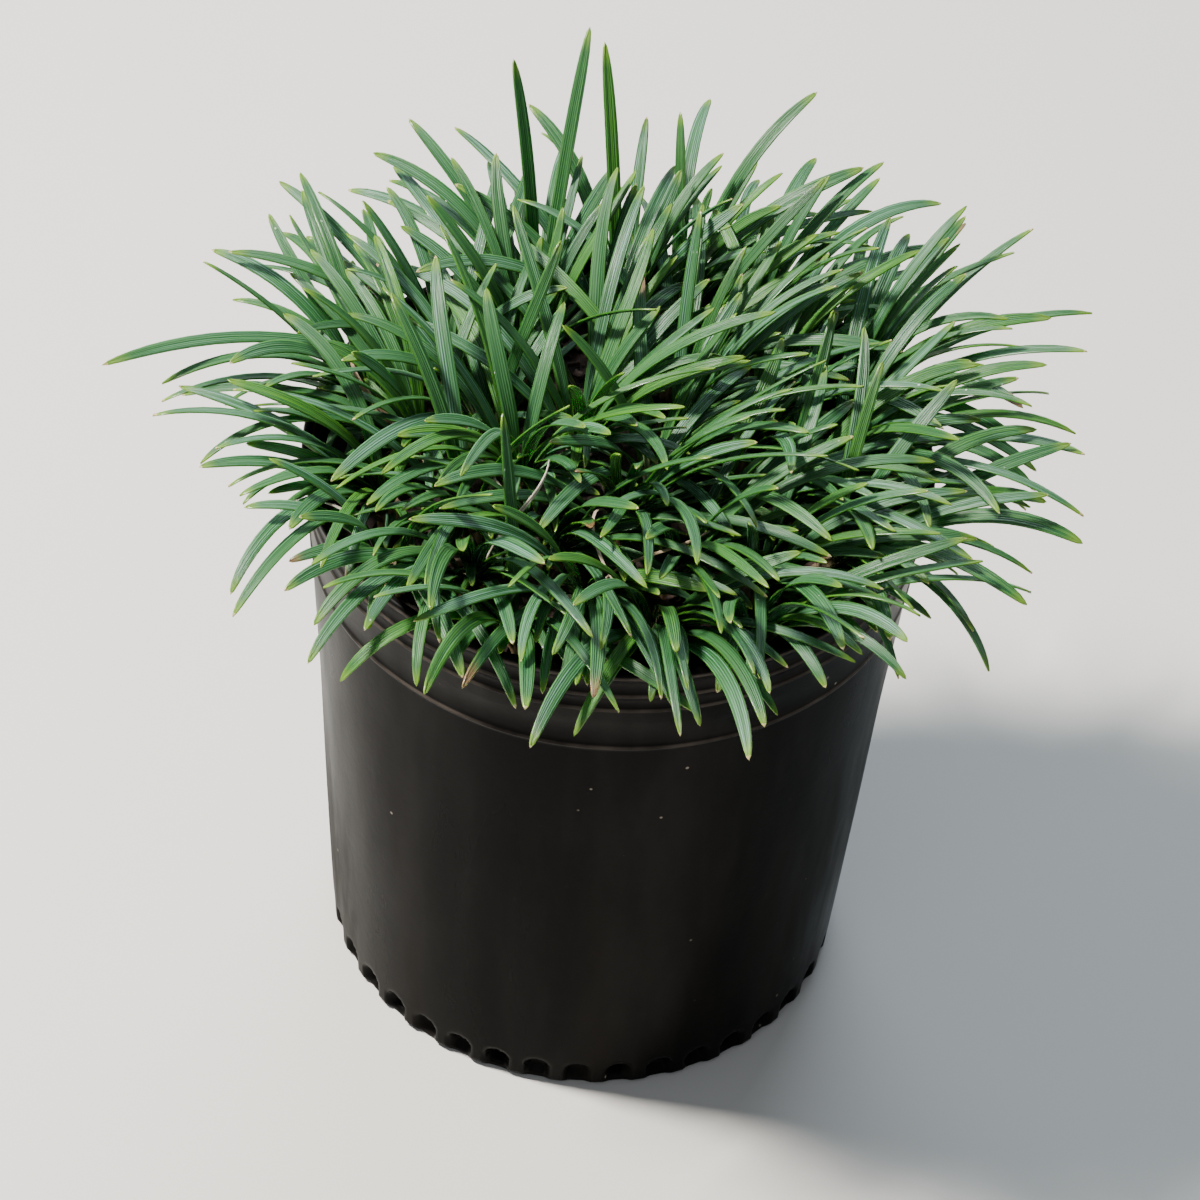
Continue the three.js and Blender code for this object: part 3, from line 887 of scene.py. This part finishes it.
class Bed:
    """Every box taken so far, which tuft owns it, and whether it is a root that its tuft may touch."""

    def __init__(self, tufts):
        tall = (CROWN_RISE + CROWN_DEPTH) / 2
        wide = CROWN_RADIUS + CLEARANCE
        self.centre = np.array([[x, y, SOIL_TOP + CROWN_RISE - tall] for x, y, _, _ in tufts])
        self.axes = np.tile(np.eye(3), (len(tufts), 1, 1))
        self.reach = np.tile([wide, wide, tall + CLEARANCE], (len(tufts), 1))
        self.ball = np.linalg.norm(self.reach, axis=1)
        self.owner = np.arange(len(tufts))
        self.root = np.ones(len(tufts), bool)

    def crossed(self, boxes, owner, roots=1):
        """Whether new boxes meet taken ones, apart from roots in the same tuft."""
        centre, axes, reach = boxes
        ball = np.linalg.norm(reach, axis=1)
        middle = centre.mean(axis=0)
        span = (np.linalg.norm(centre - middle, axis=1) + ball).max()
        around = np.flatnonzero(((self.centre - middle) ** 2).sum(axis=1) <= (span + self.ball) ** 2)
        new_root = np.arange(len(centre)) < roots
        apart = centre[:, None] - self.centre[around][None]
        near = (apart**2).sum(axis=2) <= (ball[:, None] + self.ball[around][None]) ** 2
        near &= ~((self.owner[around] == owner)[None] & (new_root[:, None] | self.root[around][None]))
        new, old = np.nonzero(near)
        if not len(new):
            return False
        old = around[old]
        old_boxes = self.centre[old], self.axes[old], self.reach[old]
        return bool(boxes_meet((centre[new], axes[new], reach[new]), old_boxes).any())

    def take(self, boxes, owner, roots=1):
        """Adds a leaf's boxes to the table."""
        centre, axes, reach = boxes
        self.centre = np.vstack([self.centre, centre])
        self.axes = np.concatenate([self.axes, axes])
        self.reach = np.vstack([self.reach, reach])
        self.ball = np.append(self.ball, np.linalg.norm(reach, axis=1))
        self.owner = np.append(self.owner, [owner] * len(centre))
        self.root = np.append(self.root, np.arange(len(centre)) < roots)


def clearance_spots():
    """Stretch numbers and shares along them at which a leaf is tested against the pot."""
    spots = []
    for stretch in range(len(BLADE_STATIONS) - 1):
        share = 0.4 if stretch == 0 else 0.1
        while share <= 1:
            spots.append((stretch, share))
            share += 0.1
    return np.array([spot[0] for spot in spots]), np.array([[spot[1]] for spot in spots])


CLEARANCE_SPOTS = clearance_spots()


def clears_pot(curve):
    """Whether a leaf stays above the mix and clears the pot's lip and wall."""
    stretch, share = CLEARANCE_SPOTS
    at = curve["place"][list(BLADE_STATIONS)]
    spots = mix(at[stretch], at[stretch + 1], share)
    radius, z = np.hypot(spots[:, 0], spots[:, 1]), spots[:, 2]
    inside = radius < POT_TOP_RADIUS - LIP_OVERHANG - WALL - RIM_CLEARANCE
    outside = radius > POT_TOP_RADIUS + RIM_CLEARANCE
    on_rim = ~inside & ~outside & (z < POT_HEIGHT + RIM_CLEARANCE)
    in_mix = inside & (z < SOIL_TOP + MIX_CLEARANCE)
    return not (on_rim | in_mix).any()


def bend_clear(wish, draw):
    """Turns a leaf a little and raises it, for its next try."""
    wish["bearing"] += 36 * DEGREE * (draw() - 0.5)
    wish["pitch"] = min(80 * DEGREE, wish["pitch"] + 1.5 * DEGREE)
    wish["tip_pitch"] = min(45 * DEGREE, wish["tip_pitch"] + 2.5 * DEGREE)


def grow(bed, tufts, owner, wish, draw):
    """A leaf that crosses nothing, or None after the last try."""
    for _ in range(TRIES):
        curve = leaf_curve(wish, root_of(tufts[owner], wish))
        boxes = leaf_boxes(curve)
        if clears_pot(curve) and not bed.crossed(boxes, owner):
            bed.take(boxes, owner)
            return curve
        bend_clear(wish, draw)
    return None


# %% Grow the leaves that the solid model has
draw = draws_from(2024)
tufts = tuft_places()
bed = Bed(tufts)
leaves = [[] for _ in tufts]
for row in LONG_BLADES:
    leaves[row[0] - 1].append(grow(bed, tufts, row[0] - 1, long_wish(row, draw), draw))
for rank in range(BLADES_PER_TUFT):
    for owner, tuft in enumerate(tufts):
        wish = leaf_wish(tuft, rank / (BLADES_PER_TUFT - 1), draw)
        leaves[owner].append(grow(bed, tufts, owner, wish, draw))
leaves = [[leaf for leaf in tuft_leaves if leaf] for tuft_leaves in leaves]
print("leaves by the solid model's rule:", sum(len(tuft_leaves) for tuft_leaves in leaves))
worst = 0
for owner, tuft_leaves in enumerate(leaves):
    low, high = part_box(f"tuft_{owner + 1:02d}")
    tips = np.array([leaf["place"][-1] for leaf in tuft_leaves]) * MM
    worst = max(worst, abs(tips[:, 2].max() - high[2]) / MM)
print("tallest tips differ from the solid model's by up to", round(worst, 2), "mm")

# %% [markdown]
# ## The leaves' finish
#
# A mondo grass leaf is a leathery strap with a waxy shine. Fine veins run along it, so it looks combed
# with light and dark green lines, and it is folded into a shallow channel. Its root is pale, its blunt
# tip carries a small yellowish spot, and hard water leaves pale specks on it. The lines must follow
# the leaf round its bends, so they are drawn on its UV map, where x runs across and y runs along. Each
# leaf also has a tone, from blue-green to yellow-green, which decides too how much pale bluish colour
# lies between its veins: partly wax bloom and partly a painted sheen that stands in for the sky's
# reflection on the wax. Each leaf also has an age, which browns it from the tip.

# %% Leaf colours
DEEP_GREEN = (0.0018, 0.0180, 0.0045, 1)
BLUE_GREEN = (0.0100, 0.064, 0.0180, 1)
YOUNG_GREEN = (0.060, 0.190, 0.010, 1)
UNDER_GREEN = (0.045, 0.135, 0.040, 1)
# pale bluish colour between the veins: part wax bloom, part painted sheen for the sky's reflection
BLOOM_AND_SHEEN = (0.175, 0.300, 0.290, 1)
PALE_ROOT = (0.30, 0.36, 0.17, 1)
YELLOWED_TIP = (0.155, 0.27, 0.020, 1)
DRY_TIP = (0.46, 0.40, 0.16, 1)
BROWNED = (0.150, 0.088, 0.036, 1)
WATER_SPECK = (0.52, 0.55, 0.48, 1)
VEINS = 6
VEIN_DEPTH = 0.00034
BLOOM_AND_SHEEN_SHARE = (0.46, 0.22)
LEAF_BODY = {
    "IOR": 1.45,
    "Specular IOR Level": 0.5,
    "Subsurface Weight": 0.25,
    "Subsurface Radius": (0.5, 1.0, 0.25),
    "Subsurface Scale": 0.0020,
}


def leaf_finish(name, veins_light, veins_dark, wax):
    """A leaf surface with veins along it. wax is its roughness where it is smoothest."""
    material, tree, shader = new_material(name)
    uv = node(tree, "SeparateXYZ", Vector=node(tree, "UVMap", {"uv_map": "leaf_uv"}).outputs["UV"])
    across, along = uv.outputs["X"], uv.outputs["Y"]
    place = node(tree, "TexCoord").outputs["Object"]
    tone = attribute(tree, "tone")
    age = attribute(tree, "age")

    combed = node(tree, "CombineXYZ", X=times(tree, across, 7.5), Y=times(tree, along, 1.6),
                  Z=times(tree, tone, 61.0)).outputs[0]
    streaks = speckle(tree, combed, 1.0, detail=3)
    ridges = maths(tree, "SINE", times(tree, across, 2 * math.pi * VEINS))
    veins = maths(tree, "MULTIPLY_ADD", ridges, 0.13, streaks)

    ripe = blend_colours(tree, ramp_between(tree, tone, 0.30, 1.0), veins_light, YOUNG_GREEN)
    lined = blend_colours(tree, ramp_between(tree, veins, 0.34, 0.66), veins_dark, ripe)
    # painted sheen mixed with wax bloom: how much pale bluish colour each leaf gets between its veins
    leaf_by_leaf = maths(tree, "SINE", times(tree, tone, 83.0))
    bloom_and_sheen_by_leaf = maths(tree, "MULTIPLY_ADD", leaf_by_leaf, *BLOOM_AND_SHEEN_SHARE)
    bloom_and_sheen_by_tone = times(tree, bloom_and_sheen_by_leaf, ramp_between(tree, tone, 0.80, 0.50))
    bloom_and_sheen_mask = times(tree, ramp_between(tree, veins, 0.52, 0.78), bloom_and_sheen_by_tone)
    bloom_and_sheened = blend_colours(tree, bloom_and_sheen_mask, lined, BLOOM_AND_SHEEN)
    from_middle = maths(tree, "ABSOLUTE", maths(tree, "SUBTRACT", across, 0.5))
    edge = times(tree, ramp_between(tree, from_middle, 0.43, 0.49), 0.35)
    edged = blend_colours(tree, edge, bloom_and_sheened, YOUNG_GREEN)
    rooted = blend_colours(tree, ramp_between(tree, along, 0.16, 0.02), edged, PALE_ROOT)

    yellowed = times(tree, ramp_between(tree, along, 0.91, 0.99), 0.8)
    tipped = blend_colours(tree, yellowed, rooted, YELLOWED_TIP)
    dry_from = maths(tree, "MULTIPLY_ADD", tone, 0.06, 0.978)
    dried = blend_colours(tree, maths(tree, "GREATER_THAN", along, dry_from), tipped, DRY_TIP)
    ragged = maths(tree, "MULTIPLY_ADD", streaks, 0.12, along)
    brown_from = maths(tree, "SUBTRACT", 1.14, times(tree, age, 0.75))
    brown = ramp_between(tree, maths(tree, "SUBTRACT", ragged, brown_from), -0.02, 0.06)
    browned = blend_colours(tree, brown, dried, BROWNED)

    dots = node(tree, "TexVoronoi", Vector=place, Scale=210.0).outputs["Distance"]
    patches = ramp_between(tree, speckle(tree, place, 26), 0.50, 0.62)
    dotted = times(tree, ramp_between(tree, dots, 0.085, 0.05), patches)
    plug(tree, shader.inputs["Base Color"], blend_colours(tree, dotted, browned, WATER_SPECK))

    plug(tree, shader.inputs["Roughness"], maths(tree, "MULTIPLY_ADD", streaks, 0.24, wax - 0.12))
    plug(tree, shader.inputs["Normal"], relief(tree, veins, VEIN_DEPTH))
    for setting, value in LEAF_BODY.items():
        shader.inputs[setting].default_value = value
    return material


leaf_top = leaf_finish("waxy_leaf_top", BLUE_GREEN, DEEP_GREEN, wax=0.25)
leaf_under = leaf_finish("ribbed_leaf_underside", UNDER_GREEN, BLUE_GREEN, wax=0.42)
print("leaf finishes:", leaf_top.name, leaf_under.name)

# %% [markdown]
# Dead leaves and the sheaths round each crown have dried to straw. Straw keeps the fibres but loses
# the wax, so it is the same combed pattern with warm colours, rougher, and with dark flecks.

# %% Dry straw
STRAW_DARK = (0.20, 0.125, 0.055, 1)
STRAW_PALE = (0.56, 0.44, 0.26, 1)
STRAW_BLEACHED = (0.62, 0.57, 0.47, 1)
STRAW_FLECK = (0.085, 0.047, 0.022, 1)

dry_straw, tree, shader = new_material("dry_straw")
uv = node(tree, "SeparateXYZ", Vector=node(tree, "UVMap", {"uv_map": "leaf_uv"}).outputs["UV"])
place = node(tree, "TexCoord").outputs["Object"]
tone = attribute(tree, "tone")
combed = node(tree, "CombineXYZ", X=times(tree, uv.outputs["X"], 12.0), Y=times(tree, uv.outputs["Y"], 3.0),
              Z=times(tree, tone, 43.0)).outputs[0]
fibres = speckle(tree, combed, 1.0, detail=4)
straw = blend_colours(tree, ramp_between(tree, fibres, 0.35, 0.70), STRAW_DARK, STRAW_PALE)
bleached = blend_colours(tree, ramp_between(tree, tone, 0.55, 0.95), straw, STRAW_BLEACHED)
flecks = ramp_between(tree, speckle(tree, place, 420), 0.62, 0.72)
plug(tree, shader.inputs["Base Color"], blend_colours(tree, flecks, bleached, STRAW_FLECK))
plug(tree, shader.inputs["Roughness"], ramp_between(tree, fibres, -1.6, 1.1))
plug(tree, shader.inputs["Normal"], relief(tree, fibres, 0.0003))
print("straw nodes:", len(tree.nodes))

# %% [markdown]
# ## Making a leaf
#
# A leaf starts as a flat grid and each of its vertices is carried to its place on the leaf's curve.
# The middle of the grid is sunk a little to make the channel. The rows are closer together near the
# tip, where the outline turns quickly. A Solidify modifier then gives the leaf its thickness, and puts
# the underside's finish on the back.

# %% Lay a strap along a curve
LEAF_COLUMNS = 4
LEAF_ROWS = 16
LEAF_THICKNESS = 0.42
CHANNEL_DEPTH = 0.48
TIP_BLUNTNESS = 5.0
SLENDERNESS = 0.88
LEAF_REACH = 0.995
TIP_CHANNEL = 0.55


def leaf_layers(bm):
    """The UV map and the two per-leaf attributes that the leaf finishes read."""
    return {"uv": bm.loops.layers.uv.new("leaf_uv"), "tone": bm.verts.layers.float.new("tone"),
            "age": bm.verts.layers.float.new("age")}


def blunt_width(share, full):
    """The real leaf's width along it: as parallel as a ribbon, and rounded off close to its tip."""
    wide = SLENDERNESS * full
    rising = wide * mix(ROOT_WIDTH, 1, ease(np.minimum(share, WIDEST_AT) / WIDEST_AT))
    past = np.maximum(share - WIDEST_AT, 0) / (1 - WIDEST_AT)
    return np.where(share < WIDEST_AT, rising, wide * np.sqrt(np.maximum(0, 1 - past**TIP_BLUNTNESS)))


def row_share(t):
    """How far along the leaf a row lies, with the rows closer together near the tip."""
    return 1 - (1 - t) ** 1.5


def lay_strap(bm, layers, curve, tone, age=0.0, channel=CHANNEL_DEPTH, finish=0):
    """Adds one leaf surface to a bmesh, along its curve, in millimetres."""
    grid = bmesh.ops.create_grid(bm, x_segments=LEAF_COLUMNS, y_segments=LEAF_ROWS, size=1, calc_uvs=True)
    share = row_share(np.arange(LEAF_ROWS + 1) / LEAF_ROWS)
    samples = np.linspace(0, 1, len(curve["place"]))
    at = {key: np.stack([np.interp(share * LEAF_REACH, samples, curve[key][:, k]) for k in range(3)], axis=1)
          for key in ("place", "side", "face")}
    width = blunt_width(share, curve["full_width"])
    for vert in grid["verts"]:
        across, row = vert.co.x, round((vert.co.y + 1) / 2 * LEAF_ROWS)
        sunk = channel * (1 - across * across) * mix(1, TIP_CHANNEL, share[row])
        vert.co = at["place"][row] + at["side"][row] * (across * width[row] / 2) - at["face"][row] * sunk
        vert[layers["tone"]] = tone
        vert[layers["age"]] = age
    for face in {face for vert in grid["verts"] for face in vert.link_faces}:
        face.material_index = finish
        for loop in face.loops:
            loop[layers["uv"]].uv.y = row_share(min(1, max(0, loop[layers["uv"]].uv.y)))


print("faces on a leaf's upper side:", LEAF_COLUMNS * LEAF_ROWS)

# %% [markdown]
# The solid model has only as many leaves as its thick boxes let it have, which gives the mound its
# form but leaves it thinner than a real one. More leaves can grow in the spaces that are left, if each
# has shorter boxes that fit the real, thinner leaf closely. The leaves that exist already go into a
# new table with such boxes.

# %% A closer table of boxes
FINE_STATIONS = (0, 3, 6, 9, 12, 15, 18, 21, 24)
FINE_ROOTS = 3
FINE_KEEL = 0.5
FINE_GAP = 0.03


def fine_boxes(curve):
    """Boxes that fit the real leaf closely."""
    blunt = {**curve, "width": blunt_width(np.linspace(0, 1, CURVE_STEPS + 1), curve["full_width"])}
    return leaf_boxes(blunt, FINE_STATIONS, FINE_KEEL, FINE_GAP)


close_bed = Bed(tufts)
for owner, tuft_leaves in enumerate(leaves):
    for leaf in tuft_leaves:
        close_bed.take(fine_boxes(leaf), owner, FINE_ROOTS)
print("boxes in the closer table:", len(close_bed.ball))

# %% [markdown]
# A few leaves are dead. They have dried to straw, shrunk to strips and curled, and an old flower stalk
# lies among them. Each is rooted in its tuft like a green leaf, so it can be the same strap on a curve
# of its own, only narrower. They are set one by one near where the photograph shows them, before the
# younger leaves crowd in, and each of them looks for a way between the green leaves.

# %% Dead leaves: tuft, bearing, length, width, pitch at the root and at the tip, turn, tone
DEAD_LEAVES = (
    (19, 330, 48, 1.0, 84, -20, 100, 0.62),
    (1, 188, 38, 1.4, 64, -30, 60, 0.95),
    (14, 350, 45, 1.3, 84, 24, 120, 0.80),
    (32, 236, 60, 1.1, 72, -38, 75, 0.70),
    (19, 250, 22, 1.4, 70, -60, -150, 0.85),
    (11, 235, 24, 1.6, 62, -60, -90, 0.75),
    (11, 262, 20, 1.2, 78, -70, 170, 0.90),
    (23, 300, 24, 1.1, 80, -60, -190, 0.92),
    (30, 210, 26, 1.2, 84, -50, 180, 0.88),
    (17, 185, 36, 1.8, 66, 0, -90, 0.60),
    (10, 20, 44, 2.2, 66, 6, 60, 0.35),
    (4, 120, 46, 2.0, 62, 4, -60, 0.35),
)
DEAD_TRIES = 80
DEAD_STEEPEST = 86


def dead_wish(row, wander):
    """A dead leaf's curve, turned a little further from its place the longer that it has looked."""
    _, bearing, length, width, pitch, tip_pitch, turn, _ = row
    return {
        "bearing": math.radians(bearing + wander),
        "turn": math.radians(turn),
        "pitch": math.radians(min(DEAD_STEEPEST, pitch + abs(wander) / 3)),
        "tip_pitch": math.radians(tip_pitch + abs(wander) / 3),
        "length": length,
        "width": width,
        "roll": math.radians(turn / 2),
        "inner": 0.3,
    }


dead = [[] for _ in tufts]
for row in DEAD_LEAVES:
    owner = row[0] - 1
    for attempt in range(DEAD_TRIES):
        wish = dead_wish(row, attempt / 2 * (1 if attempt % 2 else -1))
        curve = leaf_curve(wish, root_of(tufts[owner], wish))
        boxes = fine_boxes(curve)
        if clears_pot(curve) and not close_bed.crossed(boxes, owner, FINE_ROOTS):
            close_bed.take(boxes, owner, FINE_ROOTS)
            dead[owner].append((curve, row[-1]))
            break
print("dead leaves with a place:", sum(len(tuft_dead) for tuft_dead in dead), "of", len(DEAD_LEAVES))

# %% [markdown]
# A second generation of green leaves now grows into the spaces that are left. A leaf that finds no
# space asks for a new place and for a little less length, and none may reach out of the mound. These
# leaves are combed to the right and to the front, away from a parting, as the plant in the photograph
# has grown. Round the parting they point every way, and at the back of the pot they stand up.

# %% A second generation of leaves between the first
FILLERS_PER_TUFT = 46
FILLER_TRIES = 18
FILLER_PARTING = (-40, 16)
PARTING_SPREAD = 170
PARTING_REACH = 34
FILLER_FAN = (70, 50)
FILLER_REACH = (1.22, 0.45)
FILLER_PITCH = (-12, 8)
FILLER_DROOP = (-26, 14)
FILLER_WIDTH = (0.92, 0.70)
MOUND_MIDDLE = np.array([-4.0, -2.0])
MOUND_RADII = np.array([131.0, 118.0])
MOUND_RAGGED = (0.90, 1.04)
BACK_SLOPE = 0.97
BACK_HEIGHT = 286
BACK_FROM = -5
BACK_DEPTH = 50
BACK_RISE = (14, 30)


def filler_wish(tuft, inner, tried, draw):
    """A leaf like the others but slighter, and shorter the longer that it has looked for space."""
    wish = leaf_wish(tuft, inner, draw)
    from_parting = tuft[0] - FILLER_PARTING[0], tuft[1] - FILLER_PARTING[1]
    flow = math.atan2(from_parting[1], from_parting[0])
    combed = min(1, math.hypot(*from_parting) / PARTING_REACH)
    fan = mix(PARTING_SPREAD, mix(*FILLER_FAN, tuft[2] / PLANTED_RADIUS), combed)
    backward = ease(min(1, max(0, (tuft[1] - BACK_FROM) / BACK_DEPTH)))
    wish["bearing"] = flow + math.radians(fan) * (2 * draw() - 1)
    wish["length"] *= mix(*FILLER_REACH, tried)
    wish["width"] *= mix(*FILLER_WIDTH, tried)
    wish["pitch"] += math.radians(mix(*FILLER_PITCH, draw()) + BACK_RISE[0] * backward)
    wish["tip_pitch"] += math.radians(mix(*FILLER_DROOP, draw()) + BACK_RISE[1] * backward)
    return wish


def within_mound(curve, ragged):
    """Whether a leaf stays in the solid model's box, in the mound's round plan and under its back."""
    low, high = np.array(cad_box) / MM
    margin = curve["full_width"] / 2
    place = curve["place"]
    boxed = (place[:, :2] > low[:2] + margin).all() and (place < high - margin).all()
    out = np.linalg.norm((place[:, :2] - MOUND_MIDDLE) / MOUND_RADII, axis=1).max()
    top = (place[:, 2] + BACK_SLOPE * place[:, 1]).max()
    return boxed and out < ragged and top < BACK_HEIGHT


draw = draws_from(77)
fillers = [[] for _ in tufts]
for rank in range(FILLERS_PER_TUFT):
    for owner, tuft in enumerate(tufts):
        for attempt in range(FILLER_TRIES):
            wish = filler_wish(tuft, draw() ** 0.8, attempt / (FILLER_TRIES - 1), draw)
            curve = leaf_curve(wish, root_of(tuft, wish))
            if not within_mound(curve, mix(*MOUND_RAGGED, draw())) or not clears_pot(curve):
                continue
            boxes = fine_boxes(curve)
            if not close_bed.crossed(boxes, owner, FINE_ROOTS):
                close_bed.take(boxes, owner, FINE_ROOTS)
                fillers[owner].append(curve)
                break
print("second generation:", sum(len(tuft_leaves) for tuft_leaves in fillers))

# %% [markdown]
# ## The tufts
#
# Each tuft is one piece, as in the solid model: a crown wrapped in papery sheaths, with its leaves
# standing in it. The crown is a short cone whose sides are gathered into flutes where the leaf bases
# press through.

# %% Build every tuft
CROWN_FLUTES = 9
FLUTE_DEPTH = 0.10
CROWN_WIDTHS = (0.94, 0.62)
CROWN_TONE = 0.35
YELLOWED_LEAVES = 0.18
OLD_LEAVES = 0.015
STRAW = 2
DEAD_CURL = 0.3


def lay_crown(bm, layers, tuft):
    """The fluted base of a tuft, from below the mix to where its leaves part."""
    wide, narrow = (CROWN_RADIUS * share for share in CROWN_WIDTHS)
    crown = bmesh.ops.create_cone(bm, segments=CROWN_FLUTES * 4, radius1=wide, radius2=narrow,
                                  depth=CROWN_DEPTH + CROWN_RISE - 1, cap_ends=True, calc_uvs=True)
    middle = SOIL_TOP + (CROWN_RISE - 1 - CROWN_DEPTH) / 2
    for vert in crown["verts"]:
        bearing = math.atan2(vert.co.y, vert.co.x)
        flute = 1 - FLUTE_DEPTH * (0.5 + 0.5 * math.cos(CROWN_FLUTES * bearing))
        vert.co = Vector((tuft[0] + vert.co.x * flute, tuft[1] + vert.co.y * flute, vert.co.z + middle))
        vert[layers["tone"]] = CROWN_TONE
    for face in {face for vert in crown["verts"] for face in vert.link_faces}:
        face.material_index = STRAW


draw = draws_from(5)
for owner, tuft in enumerate(tufts):
    bm = bmesh.new()
    layers = leaf_layers(bm)
    for leaf in leaves[owner] + fillers[owner]:
        tone = mix(0.15, 0.6, leaf["inner"]) * mix(0.4, 1.4, draw())
        yellowing = mix(0.30, 0.60, draw()) if draw() > 1 - YELLOWED_LEAVES else 0.0
        age = mix(0.20, 0.30, draw()) if draw() > 1 - OLD_LEAVES else 0.0
        lay_strap(bm, layers, leaf, min(1, tone + yellowing), age=age)
    for leaf, tone in dead[owner]:
        lay_strap(bm, layers, leaf, tone, channel=leaf["full_width"] * DEAD_CURL, finish=STRAW)
    bmesh.ops.remove_doubles(bm, verts=bm.verts, dist=0.004)
    lay_crown(bm, layers, tuft)
    bmesh.ops.scale(bm, vec=(MM, MM, MM), verts=bm.verts)
    name = f"tuft_{owner + 1:02d}"
    finishes = [leaf_top, leaf_under, dry_straw, dry_straw]
    piece = piece_from(bm, "grass_" + name, finishes, replaces=[name])
    thickness = piece.modifiers.new("leaf_thickness", "SOLIDIFY")
    thickness.thickness = LEAF_THICKNESS * MM
    thickness.offset = -1
    thickness.material_offset = 1
print("tufts dressed:", len(tufts))
